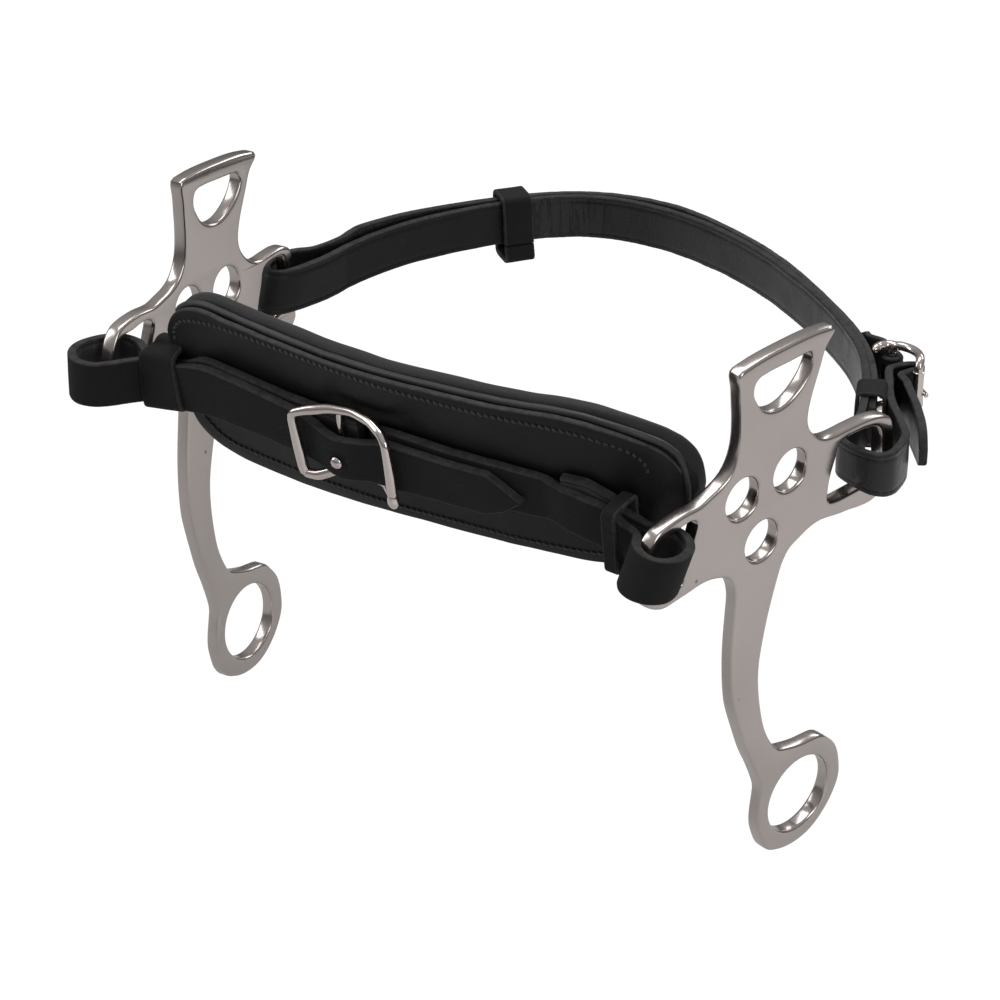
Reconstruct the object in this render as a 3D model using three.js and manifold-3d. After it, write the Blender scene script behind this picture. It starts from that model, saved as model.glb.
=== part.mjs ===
// Bitless hackamore: two flat steel cheek plates, a padded leather noseband
// with a two-piece strap, and a double leather curb strap with a buckle.
//
// Right-hand frame, +Z up. -Y is the front (nose), +Y the back (curb), and
// left is -X, as seen from the front. Shapes are in drawing units, which the
// last step turns into millimetres about the centre of the whole part's box.
import * as THREE from 'three';
import { mergeVertices } from 'three/addons/utils/BufferGeometryUtils.js';
import Module from 'manifold-3d';

const wasm = await Module();
wasm.setup();

// ---- shared dimensions, in drawing units unless noted ----
const UNIT_MM = 1.09; // millimetres per drawing unit
const BOX_CENTRE = [1.2532, 49.9317, -40.4447];
const LEATHER_T = 2.8; // strap thickness
const MERGE_TOLERANCE = 1e-4;

// ---- materials ----
const LEATHER = { color: 0x17161a, roughness: 0.55, metalness: 0.0 };
const SOFT = { color: 0x1c1b1f, roughness: 0.7, metalness: 0.0 };
const THREAD = { color: 0x4a4742, roughness: 0.85, metalness: 0.0 };
const STEEL = { color: 0xb9b4ad, roughness: 0.16, metalness: 1.0 };

// ---- outlines and lines: lists of [x, y] ----
const rect = (x0, y0, x1, y1) => [[x0, y0], [x1, y0], [x1, y1], [x0, y1]];

const circle = (x, y, radius, count) => Array.from({ length: count }, (_, i) => {
  const angle = (2 * Math.PI * i) / count;
  return [x + radius * Math.cos(angle), y + radius * Math.sin(angle)];
});

const spline = (points, count) => {
  const knots = points.map(([x, y]) => new THREE.Vector3(x, y, 0));
  const curve = new THREE.CatmullRomCurve3(knots, false, 'centripetal');
  return curve.getSpacedPoints(count).map(({ x, y }) => [x, y]);
};

// line parallel to a polyline, a distance to its left
const offset = (points, distance, closed = false) => {
  const last = points.length - 1;
  return points.map(([x, y], i) => {
    const before = points[i > 0 ? i - 1 : closed ? last : 0];
    const after = points[i < last ? i + 1 : closed ? 0 : last];
    const dx = after[0] - before[0];
    const dy = after[1] - before[1];
    const length = Math.hypot(dx, dy);
    return [x - (dy / length) * distance, y + (dx / length) * distance];
  });
};

// strip between the parallels at distances low and high
const band = (points, low, high) => [...offset(points, high), ...offset(points, low).reverse()];
const strip = (points, thickness) => band(points, -thickness / 2, thickness / 2);

// second column of a table at x, linear between rows and held at the ends
const interpolate = (table, x) => {
  const next = table.findIndex((row) => x <= row[0]);
  if (next === 0) return table[0][1];
  if (next < 0) return table[table.length - 1][1];
  const [x0, y0] = table[next - 1];
  const [x1, y1] = table[next];
  return y0 + ((x - x0) / (x1 - x0)) * (y1 - y0);
};

// ---- extrusions ----
// outlines run anticlockwise (sign 1) and their holes clockwise (sign -1)
const wound = (points, sign) => {
  const vectors = points.map(([x, y]) => new THREE.Vector2(x, y));
  return THREE.ShapeUtils.area(vectors) * sign > 0 ? vectors : vectors.reverse();
};
const shapeOf = (outline, holes = []) => {
  const shape = new THREE.Shape(wound(outline, 1));
  shape.holes.push(...holes.map((hole) => new THREE.Path(wound(hole, -1))));
  return shape;
};
const extrude = (outline, depth, holes) => new THREE.ExtrudeGeometry(
  shapeOf(outline, holes),
  { depth, bevelEnabled: false },
);
// (x, y) outline from z0 to z1
const plan = (outline, z0, z1, holes) => extrude(outline, z1 - z0, holes).translate(0, 0, z0);
// (x, z) outline from y0 to y1
const front = (outline, y0, y1, holes) => extrude(outline, y1 - y0, holes)
  .rotateX(Math.PI / 2).translate(0, y1, 0);
// (y, z) outline from x0 to x1
const side = (outline, x0, x1, holes) => extrude(outline, x1 - x0, holes)
  .rotateX(Math.PI / 2).rotateZ(Math.PI / 2).translate(x0, 0, 0);
// rectangular tube along x, drawn by its opening and its wall
const tube = (x0, x1, y0, y1, z0, z1, wall) => side(
  rect(y0 - wall, z0 - wall, y1 + wall, z1 + wall), x0, x1, [rect(y0, z0, y1, z1)],
);

// ---- solid operations ----
const toSolid = (geometry) => {
  const bare = geometry.clone();
  bare.deleteAttribute('normal');
  bare.deleteAttribute('uv');
  const merged = mergeVertices(bare, MERGE_TOLERANCE);
  return new wasm.Manifold(new wasm.Mesh({
    numProp: 3,
    vertProperties: new Float32Array(merged.attributes.position.array),
    triVerts: new Uint32Array(merged.index.array),
  }));
};
const toGeometry = (solid) => {
  const mesh = solid.getMesh();
  const geometry = new THREE.BufferGeometry();
  const positions = new Float32Array(mesh.vertProperties);
  geometry.setAttribute('position', new THREE.BufferAttribute(positions, 3));
  geometry.setIndex(new THREE.BufferAttribute(new Uint32Array(mesh.triVerts), 1));
  return geometry;
};
const combine = (operation) => (...geometries) => toGeometry(
  geometries.map(toSolid).reduce((result, solid) => result[operation](solid)),
);
const meet = combine('intersect');
const join = combine('add');
const cut = combine('subtract');

// ---- assembly ----
const root = new THREE.Group();
root.name = 'bitless_hackamore';
const toMillimetres = new THREE.Matrix4().makeScale(UNIT_MM, UNIT_MM, UNIT_MM)
  .multiply(new THREE.Matrix4().makeTranslation(...BOX_CENTRE.map((value) => -value)));

const addPart = (name, geometry, look, matrix) => {
  if (matrix) geometry.applyMatrix4(matrix);
  geometry.applyMatrix4(toMillimetres);
  geometry.deleteAttribute('uv');
  geometry.deleteAttribute('normal');
  const merged = mergeVertices(geometry, MERGE_TOLERANCE);
  merged.computeVertexNormals();
  const material = new THREE.MeshStandardMaterial({ ...look, name: `${name}_material` });
  const mesh = new THREE.Mesh(merged, material);
  mesh.name = name;
  root.add(mesh);
};

// ---- cheek plates: (rearward, upward) outlines, centre of the rein ring at 0, 0 ----
const PLATE_T = 5;
const PLATE_EDGE = 1.0; // bevelled edge
const RING_R = 13; // rein ring hole
const HOLE_R = 6.75; // small round holes
const PLATE_OUTLINE = [
  // top edge
  [-37, 162], [-32, 163.5], [-26, 164.2], [-20, 164.5], [-9, 164.7], [-3, 164.3], [1.6, 163.4],
  // rear edge of the head, and the rear arm
  [1.8, 162.2], [-1.5, 158], [-3.3, 152.5], [-5, 147.5], [-6.6, 142], [-7.2, 137], [-6.3, 133.3],
  [-3.5, 129.7], [0, 127.3], [4, 126.5], [12, 126.5], [20, 126.2], [26, 124.8], [29.5, 122.5],
  [31.5, 113], [31, 100.6], [27.5, 98], [23, 96.3], [18, 96.4], [13.7, 97.1], [9.3, 97.5],
  [4.5, 98.3], [0.6, 98.7], [-3.6, 98], [-7.7, 96.3], [-11.7, 94.2], [-14.3, 90.1],
  // rear edge of the shank
  [-15.8, 85.6], [-17.3, 80.3], [-19.1, 72.9], [-20.8, 63], [-21.3, 57.8], [-21.2, 52.4],
  [-20.2, 44.8], [-18.2, 36], [-16.8, 31.8], [-15, 28], [-13.2, 25], [-10.8, 22],
  // rein ring
  [-6, 20.3], [0, 19], [4, 18.7], [8.6, 18], [12.5, 14.9], [15.6, 11.5], [17.2, 8], [18.2, 3.7],
  [18.6, -0.3], [18.1, -3.5], [17, -6.2], [15.3, -9.2], [13.5, -11.6], [9.8, -15.2],
  [5.3, -17.7], [0, -18.8], [-5, -18.6], [-8, -17.8], [-11.3, -16.5], [-14, -13.8],
  [-16.2, -9], [-17.5, -4.5], [-17.6, 0], [-17.1, 5], [-16.9, 9],
  // front edge of the shank
  [-18, 12.5], [-21, 19.5], [-24.4, 26.4], [-27.7, 35], [-31.5, 46], [-32.5, 51], [-33.3, 58],
  [-33.7, 65], [-33.7, 72], [-33.4, 80], [-33.3, 86], [-34.5, 91],
  // front arm, and front edge of the head
  [-37, 94.8], [-40, 96.3], [-45, 97.6], [-49, 97.6], [-53, 97], [-57, 96.5], [-63, 95.9],
  [-65.7, 96.7], [-68.2, 98.1], [-71, 100.6], [-72, 106], [-71.7, 113], [-70.3, 118],
  [-67.5, 121.8], [-64, 123.3], [-57, 124.6], [-50, 124.9], [-46, 126.3], [-42, 127.9],
  [-39, 130], [-37, 132.8], [-35.8, 136], [-35.2, 140], [-35.3, 146], [-35.8, 151], [-36.3, 156],
];
const HEAD_SLOT = [
  [-30.2, 153], [-30.2, 156], [-29, 157.7], [-25, 158.5], [-17, 158.8], [-11, 159],
  [-8, 158.8], [-6.8, 157], [-7.2, 154.5], [-8.9, 151.3], [-11, 149], [-13.8, 146.8],
  [-17, 145.3], [-20.5, 144.9], [-24, 145.7], [-26.8, 147.5], [-29, 150.5],
];
const NOSE_SLOT = [
  [-66, 118.5], [-60.5, 119.8], [-56, 121], [-52.5, 121], [-50.8, 119.5], [-51.5, 116],
  [-53, 111], [-55, 104.5], [-56.6, 101.3], [-60, 101.3], [-64, 102.5], [-66.5, 105.5], [-67, 112],
];
const CURB_SLOT = [
  [7.5, 122.5], [6, 118], [4.4, 113], [3.7, 107], [4, 104.3], [7.5, 103.3],
  [13, 103.3], [20, 103.8], [25.5, 106], [26, 113], [25, 120], [22, 122.5],
];
const SMALL_HOLES = [[-32.8, 120.2], [-13.3, 121.9], [-23.7, 102.3]];

const cheekPlate = () => {
  const ring = circle(0, 0, RING_R, 36);
  const smallHoles = SMALL_HOLES.map(([x, y]) => circle(x, y, HOLE_R, 20));
  const shape = shapeOf(PLATE_OUTLINE, [ring, ...smallHoles, HEAD_SLOT, NOSE_SLOT, CURB_SLOT]);
  return new THREE.ExtrudeGeometry(shape, {
    depth: PLATE_T - 2 * PLATE_EDGE,
    bevelThickness: PLATE_EDGE,
    bevelSize: PLATE_EDGE,
    bevelOffset: -PLATE_EDGE,
    bevelSegments: 1,
  }).translate(0, 0, PLATE_EDGE - PLATE_T);
};
// ring centre on the plate's +X face, and the plate's rearward and upward directions
const plateMatrix = (ring, rearward, upward) => {
  const rear = new THREE.Vector3(...rearward).normalize();
  const normal = rear.clone().cross(new THREE.Vector3(...upward)).normalize();
  const up = normal.clone().cross(rear);
  return new THREE.Matrix4().makeBasis(rear, up, normal).setPosition(...ring);
};
const leftPlate = plateMatrix([-106.9, 16.8, -114.9], [-0.084, 0.993, -0.080], [-0.029, 0.078, 0.997]);
const rightPlate = plateMatrix([104.3, 34.2, -110.7], [0.159, 0.985, 0.066], [0.069, -0.078, 0.995]);
addPart('cheek_plate_left', cheekPlate(), STEEL, leftPlate);
addPart('cheek_plate_right', cheekPlate(), STEEL, rightPlate);

// ---- noseband, in its own leaned frame: x across, y back, z up ----
const NOSE_LEAN = 14; // degrees, top forward
const NOSE_ORIGIN = [0, -43, -1];
const NOSE_REACH = 60; // half depth of the blanks the nose pieces are cut from
const noseMatrix = new THREE.Matrix4()
  .makeRotationX(NOSE_LEAN * (Math.PI / 180)).setPosition(...NOSE_ORIGIN);
const addNosePart = (name, geometry, look) => addPart(name, geometry, look, noseMatrix);
const nosePlan = (outline) => plan(outline, -NOSE_REACH, NOSE_REACH);
// a plan outline cut to a front outline
const noseSheet = (planOutline, frontOutline) => meet(
  nosePlan(planOutline), front(frontOutline, -NOSE_REACH, NOSE_REACH),
);

// pad: cover, core and lining, front to back
const COVER_T = 2.0;
const LINING_T = 2.4;
const PAD_T = 10.4; // whole pad
const CORE_GAP = 0.3; // between the core and each leather
const CORE_INSET = 1.6; // core's edge inside the leathers' edge
// x, y of the pad's front face
const PAD_FRONT = [
  [-94, 4.0], [-85, 3.8], [-70, 3.6], [-50, 3.0], [-20, 2.4], [2, 2.0], [12, 2.2], [30, 3.0],
  [45, 4.1], [60, 6.2], [70, 7.6], [80, 9.8], [86, 12.8], [90, 16], [94, 20.5], [97, 25],
];
// x, z, clockwise
const PAD_OUTLINE = [
  [-82, 16], [-80.9, 22.4], [-77.8, 27.6], [-73, 31.6], [-66, 33.2], [-54, 32.7], [-35, 31.6],
  [-14, 31.0], [7, 31.7], [28, 32.8], [54, 34.0], [68, 34.6], [77, 33.6], [84, 31.2], [89, 28],
  [92.4, 23.5], [94, 17], [94.2, 6], [92.5, -4], [88, -11.5], [82, -15.4], [74, -17.0],
  [59, -17.5], [41, -18], [22, -19], [11, -19.2], [0, -20.4], [-21, -22.4], [-43, -22.9],
  [-62, -21.8], [-70.5, -19.6], [-76.5, -15.4], [-79, -9], [-81.2, 0],
];
// the front face between x0 and x1, thinned to about 30 points
const padLine = (x0, x1) => {
  const inside = spline(PAD_FRONT, 400).filter(([x]) => x > x0 && x < x1);
  const step = Math.ceil(inside.length / 30);
  return inside.filter((_, i) => i % step === 0 || i === inside.length - 1);
};
const padFace = padLine(-91, 95.5);
const padSheet = (y0, y1, outline) => noseSheet(band(padFace, y0, y1), outline);
const liningFront = PAD_T - LINING_T;
const coreOutline = offset(PAD_OUTLINE, -CORE_INSET, true);
addNosePart('pad_cover', padSheet(0, COVER_T, PAD_OUTLINE), LEATHER);
addNosePart('pad_core', padSheet(COVER_T + CORE_GAP, liningFront - CORE_GAP, coreOutline), SOFT);
addNosePart('pad_lining', padSheet(liningFront, PAD_T, PAD_OUTLINE), LEATHER);

// seams in front of the cover, along its two long edges: x, z
const UPPER_SEAM = [
  [-76, 24.4], [-71.2, 26.6], [-62, 28.6], [-50, 29.0], [-29, 28.6], [-8, 28.4],
  [12, 28.6], [32, 29.0], [50, 29.4], [66, 29.6], [76, 28.6], [84, 26.0],
];
const LOWER_SEAM = [
  [-72.8, -9.5], [-68.2, -13.2], [-62, -15.6], [-44, -16.6], [-24, -17.0], [-2.6, -16.4],
  [15, -15.6], [34, -14.8], [52, -14.4], [69, -13.6], [77, -12.6],
];
const SEAM_WIDTH = 0.9;
const seam = (points) => padSheet(-0.75, -0.15, strip(spline(points, 40), SEAM_WIDTH));
addNosePart('pad_stitch_upper', seam(UPPER_SEAM), THREAD);
addNosePart('pad_stitch_lower', seam(LOWER_SEAM), THREAD);

// strap edges: x, z
const STRAP_TOP = [
  [-91.4, 9.2], [-87, 11], [-80, 13.6], [-71, 15.2], [-59, 15.6], [-48, 15.0], [-38, 13.8],
  [-27, 12.8], [-10, 12.2], [15, 12.4], [30, 12.3], [46, 12.6], [58, 13.4], [66, 12.7],
  [74, 11.9], [82, 10.2], [87.5, 6], [91.2, 3.2],
];
const STRAP_BOTTOM = [
  [-91.4, -5.6], [-80, -4], [-71, -2.8], [-62, -2.6], [-52.8, -2.6], [-42, -3.0],
  [-29, -3.4], [12, -3.8], [27, -3.2], [43, -2.8], [52, -2.0], [64, -1.8], [72, -2.6],
  [80, -4.6], [86, -8], [91.2, -10.8],
];
const padY = (x) => interpolate(PAD_FRONT, x);
// x, y from x, distance behind the pad's front face
const fromPad = (stations) => stations.map(([x, distance]) => [x, padY(x) + distance]);

// left half: double as far as x = -31, then one layer, over the buckle bar and the right half
const STUD_X = -8.5;
const STUD_Z = 2.0;
const TONGUE_X = 48; // start of the pointed end
const TONGUE = [[TONGUE_X, -1.6], [53.5, 1.6], [57.2, 4.8], [53, 8.6], [TONGUE_X, 11.4]];
const HUMP_FRONT = -8.3; // from the pad's face, at the stud
const LEFT_BACK = [
  [-91.4, -0.4], [-85, -0.4], [-70, -0.4], [-50, -0.4], [-31, -0.4], [-30.6, -3.3],
  [-25, -3.3], [-18, -4.1], [-12.5, -5.3], [STUD_X, -5.5], [-4.5, -5.3], [0.5, -4.2],
  [6, -3.5], [12, -3.5], [30, -3.5], [45, -3.5], [62, -3.5],
];
const LEFT_FRONT = [
  [-91.4, -6.2], [-85, -6.2], [-70, -6.2], [-50, -6.2], [-30.6, -6.2], [-25, -6.2],
  [-18, -6.9], [-12.5, -8.1], [STUD_X, HUMP_FRONT], [-4.5, -8.1], [0.5, -7.0],
  [6, -6.3], [12, -6.3], [30, -6.3], [45, -6.3], [62, -6.3],
];
const noseStrapLeft = () => {
  const beforeTongue = ([x]) => x < TONGUE_X;
  const outline = [
    ...STRAP_BOTTOM.filter(beforeTongue),
    ...TONGUE,
    ...STRAP_TOP.filter(beforeTongue).reverse(),
  ];
  const layer = [...fromPad(LEFT_FRONT), ...fromPad(LEFT_BACK).reverse()];
  const studHole = front(circle(STUD_X, STUD_Z, 1.9, 16), -30, 30);
  return cut(noseSheet(layer, outline), studHole);
};
addNosePart('nose_strap_left', noseStrapLeft(), LEATHER);

// right half: against the pad, under the left half's tongue
const RIGHT_START = 2; // x of its left end
const RIGHT_BACK = [
  [RIGHT_START, -0.4], [12, -0.4], [30, -0.4], [45, -0.4], [60, -0.4], [70, -0.4], [80, -0.5],
];
const RIGHT_FRONT = [
  [RIGHT_START, -3.2], [12, -3.2], [30, -3.2], [45, -3.2], [60, -3.2], [67, -3.4],
  [72, -5.6], [80, -6.0],
];
const noseStrapRight = () => {
  const edge = (table) => [
    [RIGHT_START, interpolate(table, RIGHT_START)],
    ...table.filter(([x]) => x > RIGHT_START),
  ];
  const outline = [...edge(STRAP_BOTTOM), ...edge(STRAP_TOP).reverse()];
  const frontLine = [...fromPad(RIGHT_FRONT), [91.2, 3.9]];
  const backLine = [...fromPad(RIGHT_BACK), [91.2, 9.5]];
  return noseSheet([...frontLine, ...backLine.reverse()], outline);
};
addNosePart('nose_strap_right', noseStrapRight(), LEATHER);

// keepers round the strap ends: tubes cut off just in front of the pad, which closes them
const KEEPER_WALL = 1.4;
const noseKeeper = (...opening) => cut(
  tube(...opening, KEEPER_WALL), nosePlan(band(padLine(-93, 96), -0.25, 60)),
);
addNosePart('nose_keeper_left', noseKeeper(-86.8, -74.2, -3.1, 4.4, -5.6, 15.6), LEATHER);
addNosePart('nose_keeper_right', noseKeeper(79.2, 87, 1.0, 10.2, -9.4, 11.8), LEATHER);

// nose buckle: frame in front of the strap, upright bar behind it
const WIRE = 2.3; // front to back
const BAR_WIDTH = 2.4;
const BAR_TOP = 14.2;
const BAR_BOTTOM = -6.0;
const FRAME_OUTER = [
  [-25, -8.9], [13.4, -8.9], [13.4, 17.0], [8, 18.6], [-4, 19.0], [-14, 17.6], [-25, 15.6],
];
const FRAME_INNER = [
  [-22.7, -6.6], [11.1, -6.6], [11.1, 15.2], [7.4, 16.4], [-4, 16.7], [-13.4, 15.4], [-22.7, 13.7],
];
const noseBuckleFrame = () => {
  const backY = -6.9 + padY(-9); // back face of the frame
  const frame = front(FRAME_OUTER, backY - WIRE, backY, [FRAME_INNER]);
  const barProfile = [
    [backY - 1.6, -8.7], [backY - 0.2, BAR_BOTTOM - 0.6], [-1.2, BAR_BOTTOM + 0.4],
    [-1.2, BAR_TOP - 0.4], [backY - 0.2, BAR_TOP + 0.6], [backY - 1.6, 17.4],
    [backY, 17.6], [1.0, BAR_TOP + 1.6], [1.0, BAR_BOTTOM - 1.4], [backY, -8.8],
  ];
  return join(frame, side(barProfile, STUD_X - BAR_WIDTH / 2, STUD_X + BAR_WIDTH / 2));
};
addNosePart('nose_buckle_frame', noseBuckleFrame(), STEEL);

// stud from the bar through the strap, with a head in front of the hump
const noseBuckleStud = () => {
  const reach = -(padY(STUD_X) + HUMP_FRONT - 0.3);
  const profile = [
    [0, 0], [1.5, 0], [1.5, reach - 1.3], [3.0, reach - 1.3],
    [2.7, reach - 0.2], [1.6, reach + 0.6], [0, reach + 0.9],
  ].map(([x, y]) => new THREE.Vector2(x, y));
  return new THREE.LatheGeometry(profile, 20).rotateX(Math.PI).translate(STUD_X, -1.5, STUD_Z);
};
addNosePart('nose_buckle_stud', noseBuckleStud(), STEEL);

// ---- loops of the nose strap round the front bars of the plates, level: x, y ----
const LOOP_HALF = 6.9; // half height
const NOSE_LOOP_LEFT = [
  [-92.2, -45.4], [-94.6, -49.5], [-96.8, -54], [-100, -57.8], [-104.5, -59.1],
  [-109, -57.6], [-112.8, -54], [-114.6, -49.3], [-114.2, -44.5], [-112.2, -39.8],
  [-108.3, -36.4], [-102.5, -36], [-96.8, -38.6], [-92.2, -41.6],
];
const NOSE_LOOP_RIGHT = [
  [92.4, -38.0], [92.8, -41.5], [94, -45.5], [97.5, -49.4], [102.5, -51.2],
  [107.3, -50.3], [110.5, -47], [111.2, -42.5], [109.6, -37.5], [105.5, -33.4],
  [100.3, -31.4], [95.6, -32.2], [92.4, -34.2],
];
// trimmed to the stretch from x0 to x1
const noseLoop = (points, count, middleZ, x0, x1) => {
  const outline = strip(spline(points, count), LEATHER_T);
  const loop = plan(outline, middleZ - LOOP_HALF, middleZ + LOOP_HALF);
  return meet(loop, plan(rect(x0, -200, x1, 200), -90, 90));
};
addPart('nose_loop_left', noseLoop(NOSE_LOOP_LEFT, 34, 0.5, -140, -92.2), LEATHER);
addPart('nose_loop_right', noseLoop(NOSE_LOOP_RIGHT, 30, -3.6, 92.3, 140), LEATHER);

// ---- curb strap, level, in a frame at the height of its middle ----
const CURB_Z = 1.3;
const LAYER_OFFSET = 1.7; // from the path to the middle of each layer
const curbMatrix = new THREE.Matrix4().makeTranslation(0, 0, CURB_Z);
const addCurbPart = (name, geometry, look) => addPart(name, geometry, look, curbMatrix);
// x, y between the layers, from the left plate round the back to the right plate
const curbPath = spline([
  [-110.2, 60], [-107.5, 72], [-103, 90], [-96.5, 108], [-87, 127], [-78, 140], [-66, 150.5],
  [-49, 156.5], [-30, 156.5], [5, 147], [42, 128], [68, 109.5], [80, 98], [88, 88],
  [96.5, 75], [103.5, 62], [107.2, 52],
], 72);
const pathPastLoop = curbPath.filter(([x, y]) => x > 0 || y > 68.2);

// space between heights low and high, each given [near the plates, round the back]
const heights = (low, high, x0, x1) => side([
  [20, low[0]], [58, low[0]], [84, low[1]], [190, low[1]],
  [190, high[1]], [84, high[1]], [58, high[0]], [20, high[0]],
], x0, x1);
const strapHeights = (leftLow, leftHigh) => join(
  heights([leftLow, -7.4], [leftHigh, 7.5], -150, 0),
  heights([-5.4, -7.4], [6.4, 7.5], 0, 150),
);
const curbSheet = (line, thickness, space) => meet(plan(strip(line, thickness), -30, 30), space);

// outer layer: from the left loop round the back, past the buckle
const outerLine = offset(pathPastLoop.filter(([x]) => x < 93), LAYER_OFFSET);
addCurbPart('curb_strap_outer', curbSheet(outerLine, LEATHER_T, strapHeights(-9.4, 6.2)), LEATHER);

// buckle frame of reference: origin on the heel bar, x along the buckle, y outward
const HEEL = [86.6, 102];
const ALONG = [0.907, -0.42];
const OUTWARD = [-ALONG[1], ALONG[0]];
const fromHeel = (along, outward) => [0, 1].map(
  (axis) => HEEL[axis] + ALONG[axis] * along + OUTWARD[axis] * outward,
);
const place = (geometry, [x, y], direction) => geometry
  .rotateZ(Math.atan2(direction[1], direction[0])).translate(x, y, 0);
const atHeel = (geometry) => place(geometry, HEEL, ALONG);
const SLOT_HALF = 1.7; // half height of the slots round the prong

// inner layer, right loop, leg up to the buckle, hump through the frame, and tail
const curbStrapInner = () => {
  const innerLine = offset(pathPastLoop, -LAYER_OFFSET);
  const rightEnd = spline([
    innerLine[innerLine.length - 1],
    [105.3, 46], [107.6, 42.6], [111.8, 40.6], [117, 39.6], [121.6, 40.2], [123.5, 43.8],
    [122.9, 50.2], [120.6, 57.2], [113.8, 65.0], [102.3, 76.8], [95.1, 87.2], [91.5, 92.6],
    fromHeel(6.1, -4), fromHeel(6.0, 0), fromHeel(6.8, 3.4), fromHeel(8.8, 4.7),
    fromHeel(10.6, 2.8), fromHeel(11, -1), fromHeel(12.2, -4.4),
    [99.4, 90], [103.2, 86.0], [109.6, 79.0], [117.2, 70.4], [122.4, 63.8],
  ], 96);
  const line = [...innerLine.slice(0, -1), ...rightEnd];
  const prongSlot = atHeel(front(rect(3, -SLOT_HALF, 14, SLOT_HALF), 0.9, 2.8));
  return cut(curbSheet(line, LEATHER_T, strapHeights(-11.3, 3.7)), prongSlot);
};
addCurbPart('curb_strap_inner', curbStrapInner(), LEATHER);

// loop of the curb strap round the rear bar of the left plate: x, y
const CURB_LOOP_LEFT = [
  [-111.9, 66.2], [-115.4, 62.2], [-119.4, 58.4], [-121.0, 52.5], [-120.6, 46], [-118, 41.2],
  [-114.5, 39.4], [-110.8, 41], [-108.7, 46], [-107.9, 54], [-107.6, 66.2],
];
const curbLoop = plan(strip(spline(CURB_LOOP_LEFT, 30), LEATHER_T), -11.3, 3.7);
addCurbPart('curb_loop_left', curbLoop, LEATHER);

// keeper across the strap where the path passes nearest to a point;
// shift moves it outward, and depth and height are those of its opening
const curbKeeper = ({ nearTo, shift = 0, length, depth, height, wall, middleZ = 0 }) => {
  const distance = ([x, y]) => Math.hypot(x - nearTo[0], y - nearTo[1]);
  let nearest = 1;
  for (let i = 1; i < curbPath.length - 1; i++) {
    if (distance(curbPath[i]) < distance(curbPath[nearest])) nearest = i;
  }
  const [before, [x, y], after] = curbPath.slice(nearest - 1, nearest + 2);
  const dx = after[0] - before[0];
  const dy = after[1] - before[1];
  const span = Math.hypot(dx, dy);
  const centre = [x - (dy / span) * shift, y + (dx / span) * shift];
  const keeper = tube(
    -length / 2, length / 2, -depth / 2, depth / 2,
    middleZ - height / 2, middleZ + height / 2, wall,
  );
  return place(keeper, centre, [dx, dy]);
};
// sliding keeper, round both layers
addCurbPart('curb_keeper_sliding', curbKeeper({
  nearTo: [-85, 131], length: 9.5, depth: 8.0, height: 20.0, wall: 1.7, middleZ: -1.9,
}), LEATHER);

// chape: short leather fold round the heel bar, lying on the outer layer
const CHAPE_T = 2.2;
const curbChape = () => {
  const line = spline([
    ...offset(curbPath.filter(([x]) => x > 64 && x < 73), 4.5),
    [77.8, 110.2], [82.4, 107.4],
    fromHeel(-0.4, 2.8), fromHeel(2.0, 2.1), fromHeel(2.9, 0),
    fromHeel(2.0, -2.1), fromHeel(-0.4, -2.8),
  ], 34);
  const eyeSlot = atHeel(front(rect(-3.6, -SLOT_HALF, 6, SLOT_HALF), -6, 6));
  return cut(curbSheet(line, CHAPE_T, heights([-6.8, -6.8], [6.8, 6.8], 0, 150)), eyeSlot);
};
addCurbPart('curb_chape', curbChape(), LEATHER);

// curb buckle: rectangular frame, and a prong with an eye on the heel bar
const CURB_WIRE_HALF = 1.2;
const curbBuckleFrame = () => {
  const length = 15; // between bar middles
  const halfHeight = 10.6; // to the bar middles
  // rectangle a distance outside the bar middles
  const grown = (by) => rect(-by, -halfHeight - by, length + by, halfHeight + by);
  const opening = grown(-CURB_WIRE_HALF);
  return atHeel(front(grown(CURB_WIRE_HALF), -CURB_WIRE_HALF, CURB_WIRE_HALF, [opening]));
};
addCurbPart('curb_buckle_frame', curbBuckleFrame(), STEEL);

const PRONG_ARM = [[2.2, 1.35], [17.4, 1.35], [17.4, 2.0], [16.6, 2.3], [2.2, 2.3], [1.2, 2.4]];
const PRONG_HALF = 1.2; // half height
const curbBuckleProng = () => {
  const eye = plan(circle(0, 0, 3.0, 20), -PRONG_HALF, PRONG_HALF, [circle(0, 0, 2.0, 20)]);
  return atHeel(join(eye, plan(PRONG_ARM, -PRONG_HALF, PRONG_HALF)));
};
addCurbPart('curb_buckle_prong', curbBuckleProng(), STEEL);

// fixed keeper, round the inner layer near the buckle
addCurbPart('curb_keeper_fixed', curbKeeper({
  nearTo: [96.5, 75], shift: -LAYER_OFFSET, length: 7.0, depth: 3.8, height: 16.0, wall: 1.2,
}), LEATHER);

export default root;
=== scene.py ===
import math
import random
import bpy
import numpy as np
from mathutils import Matrix, Vector, noise


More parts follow.
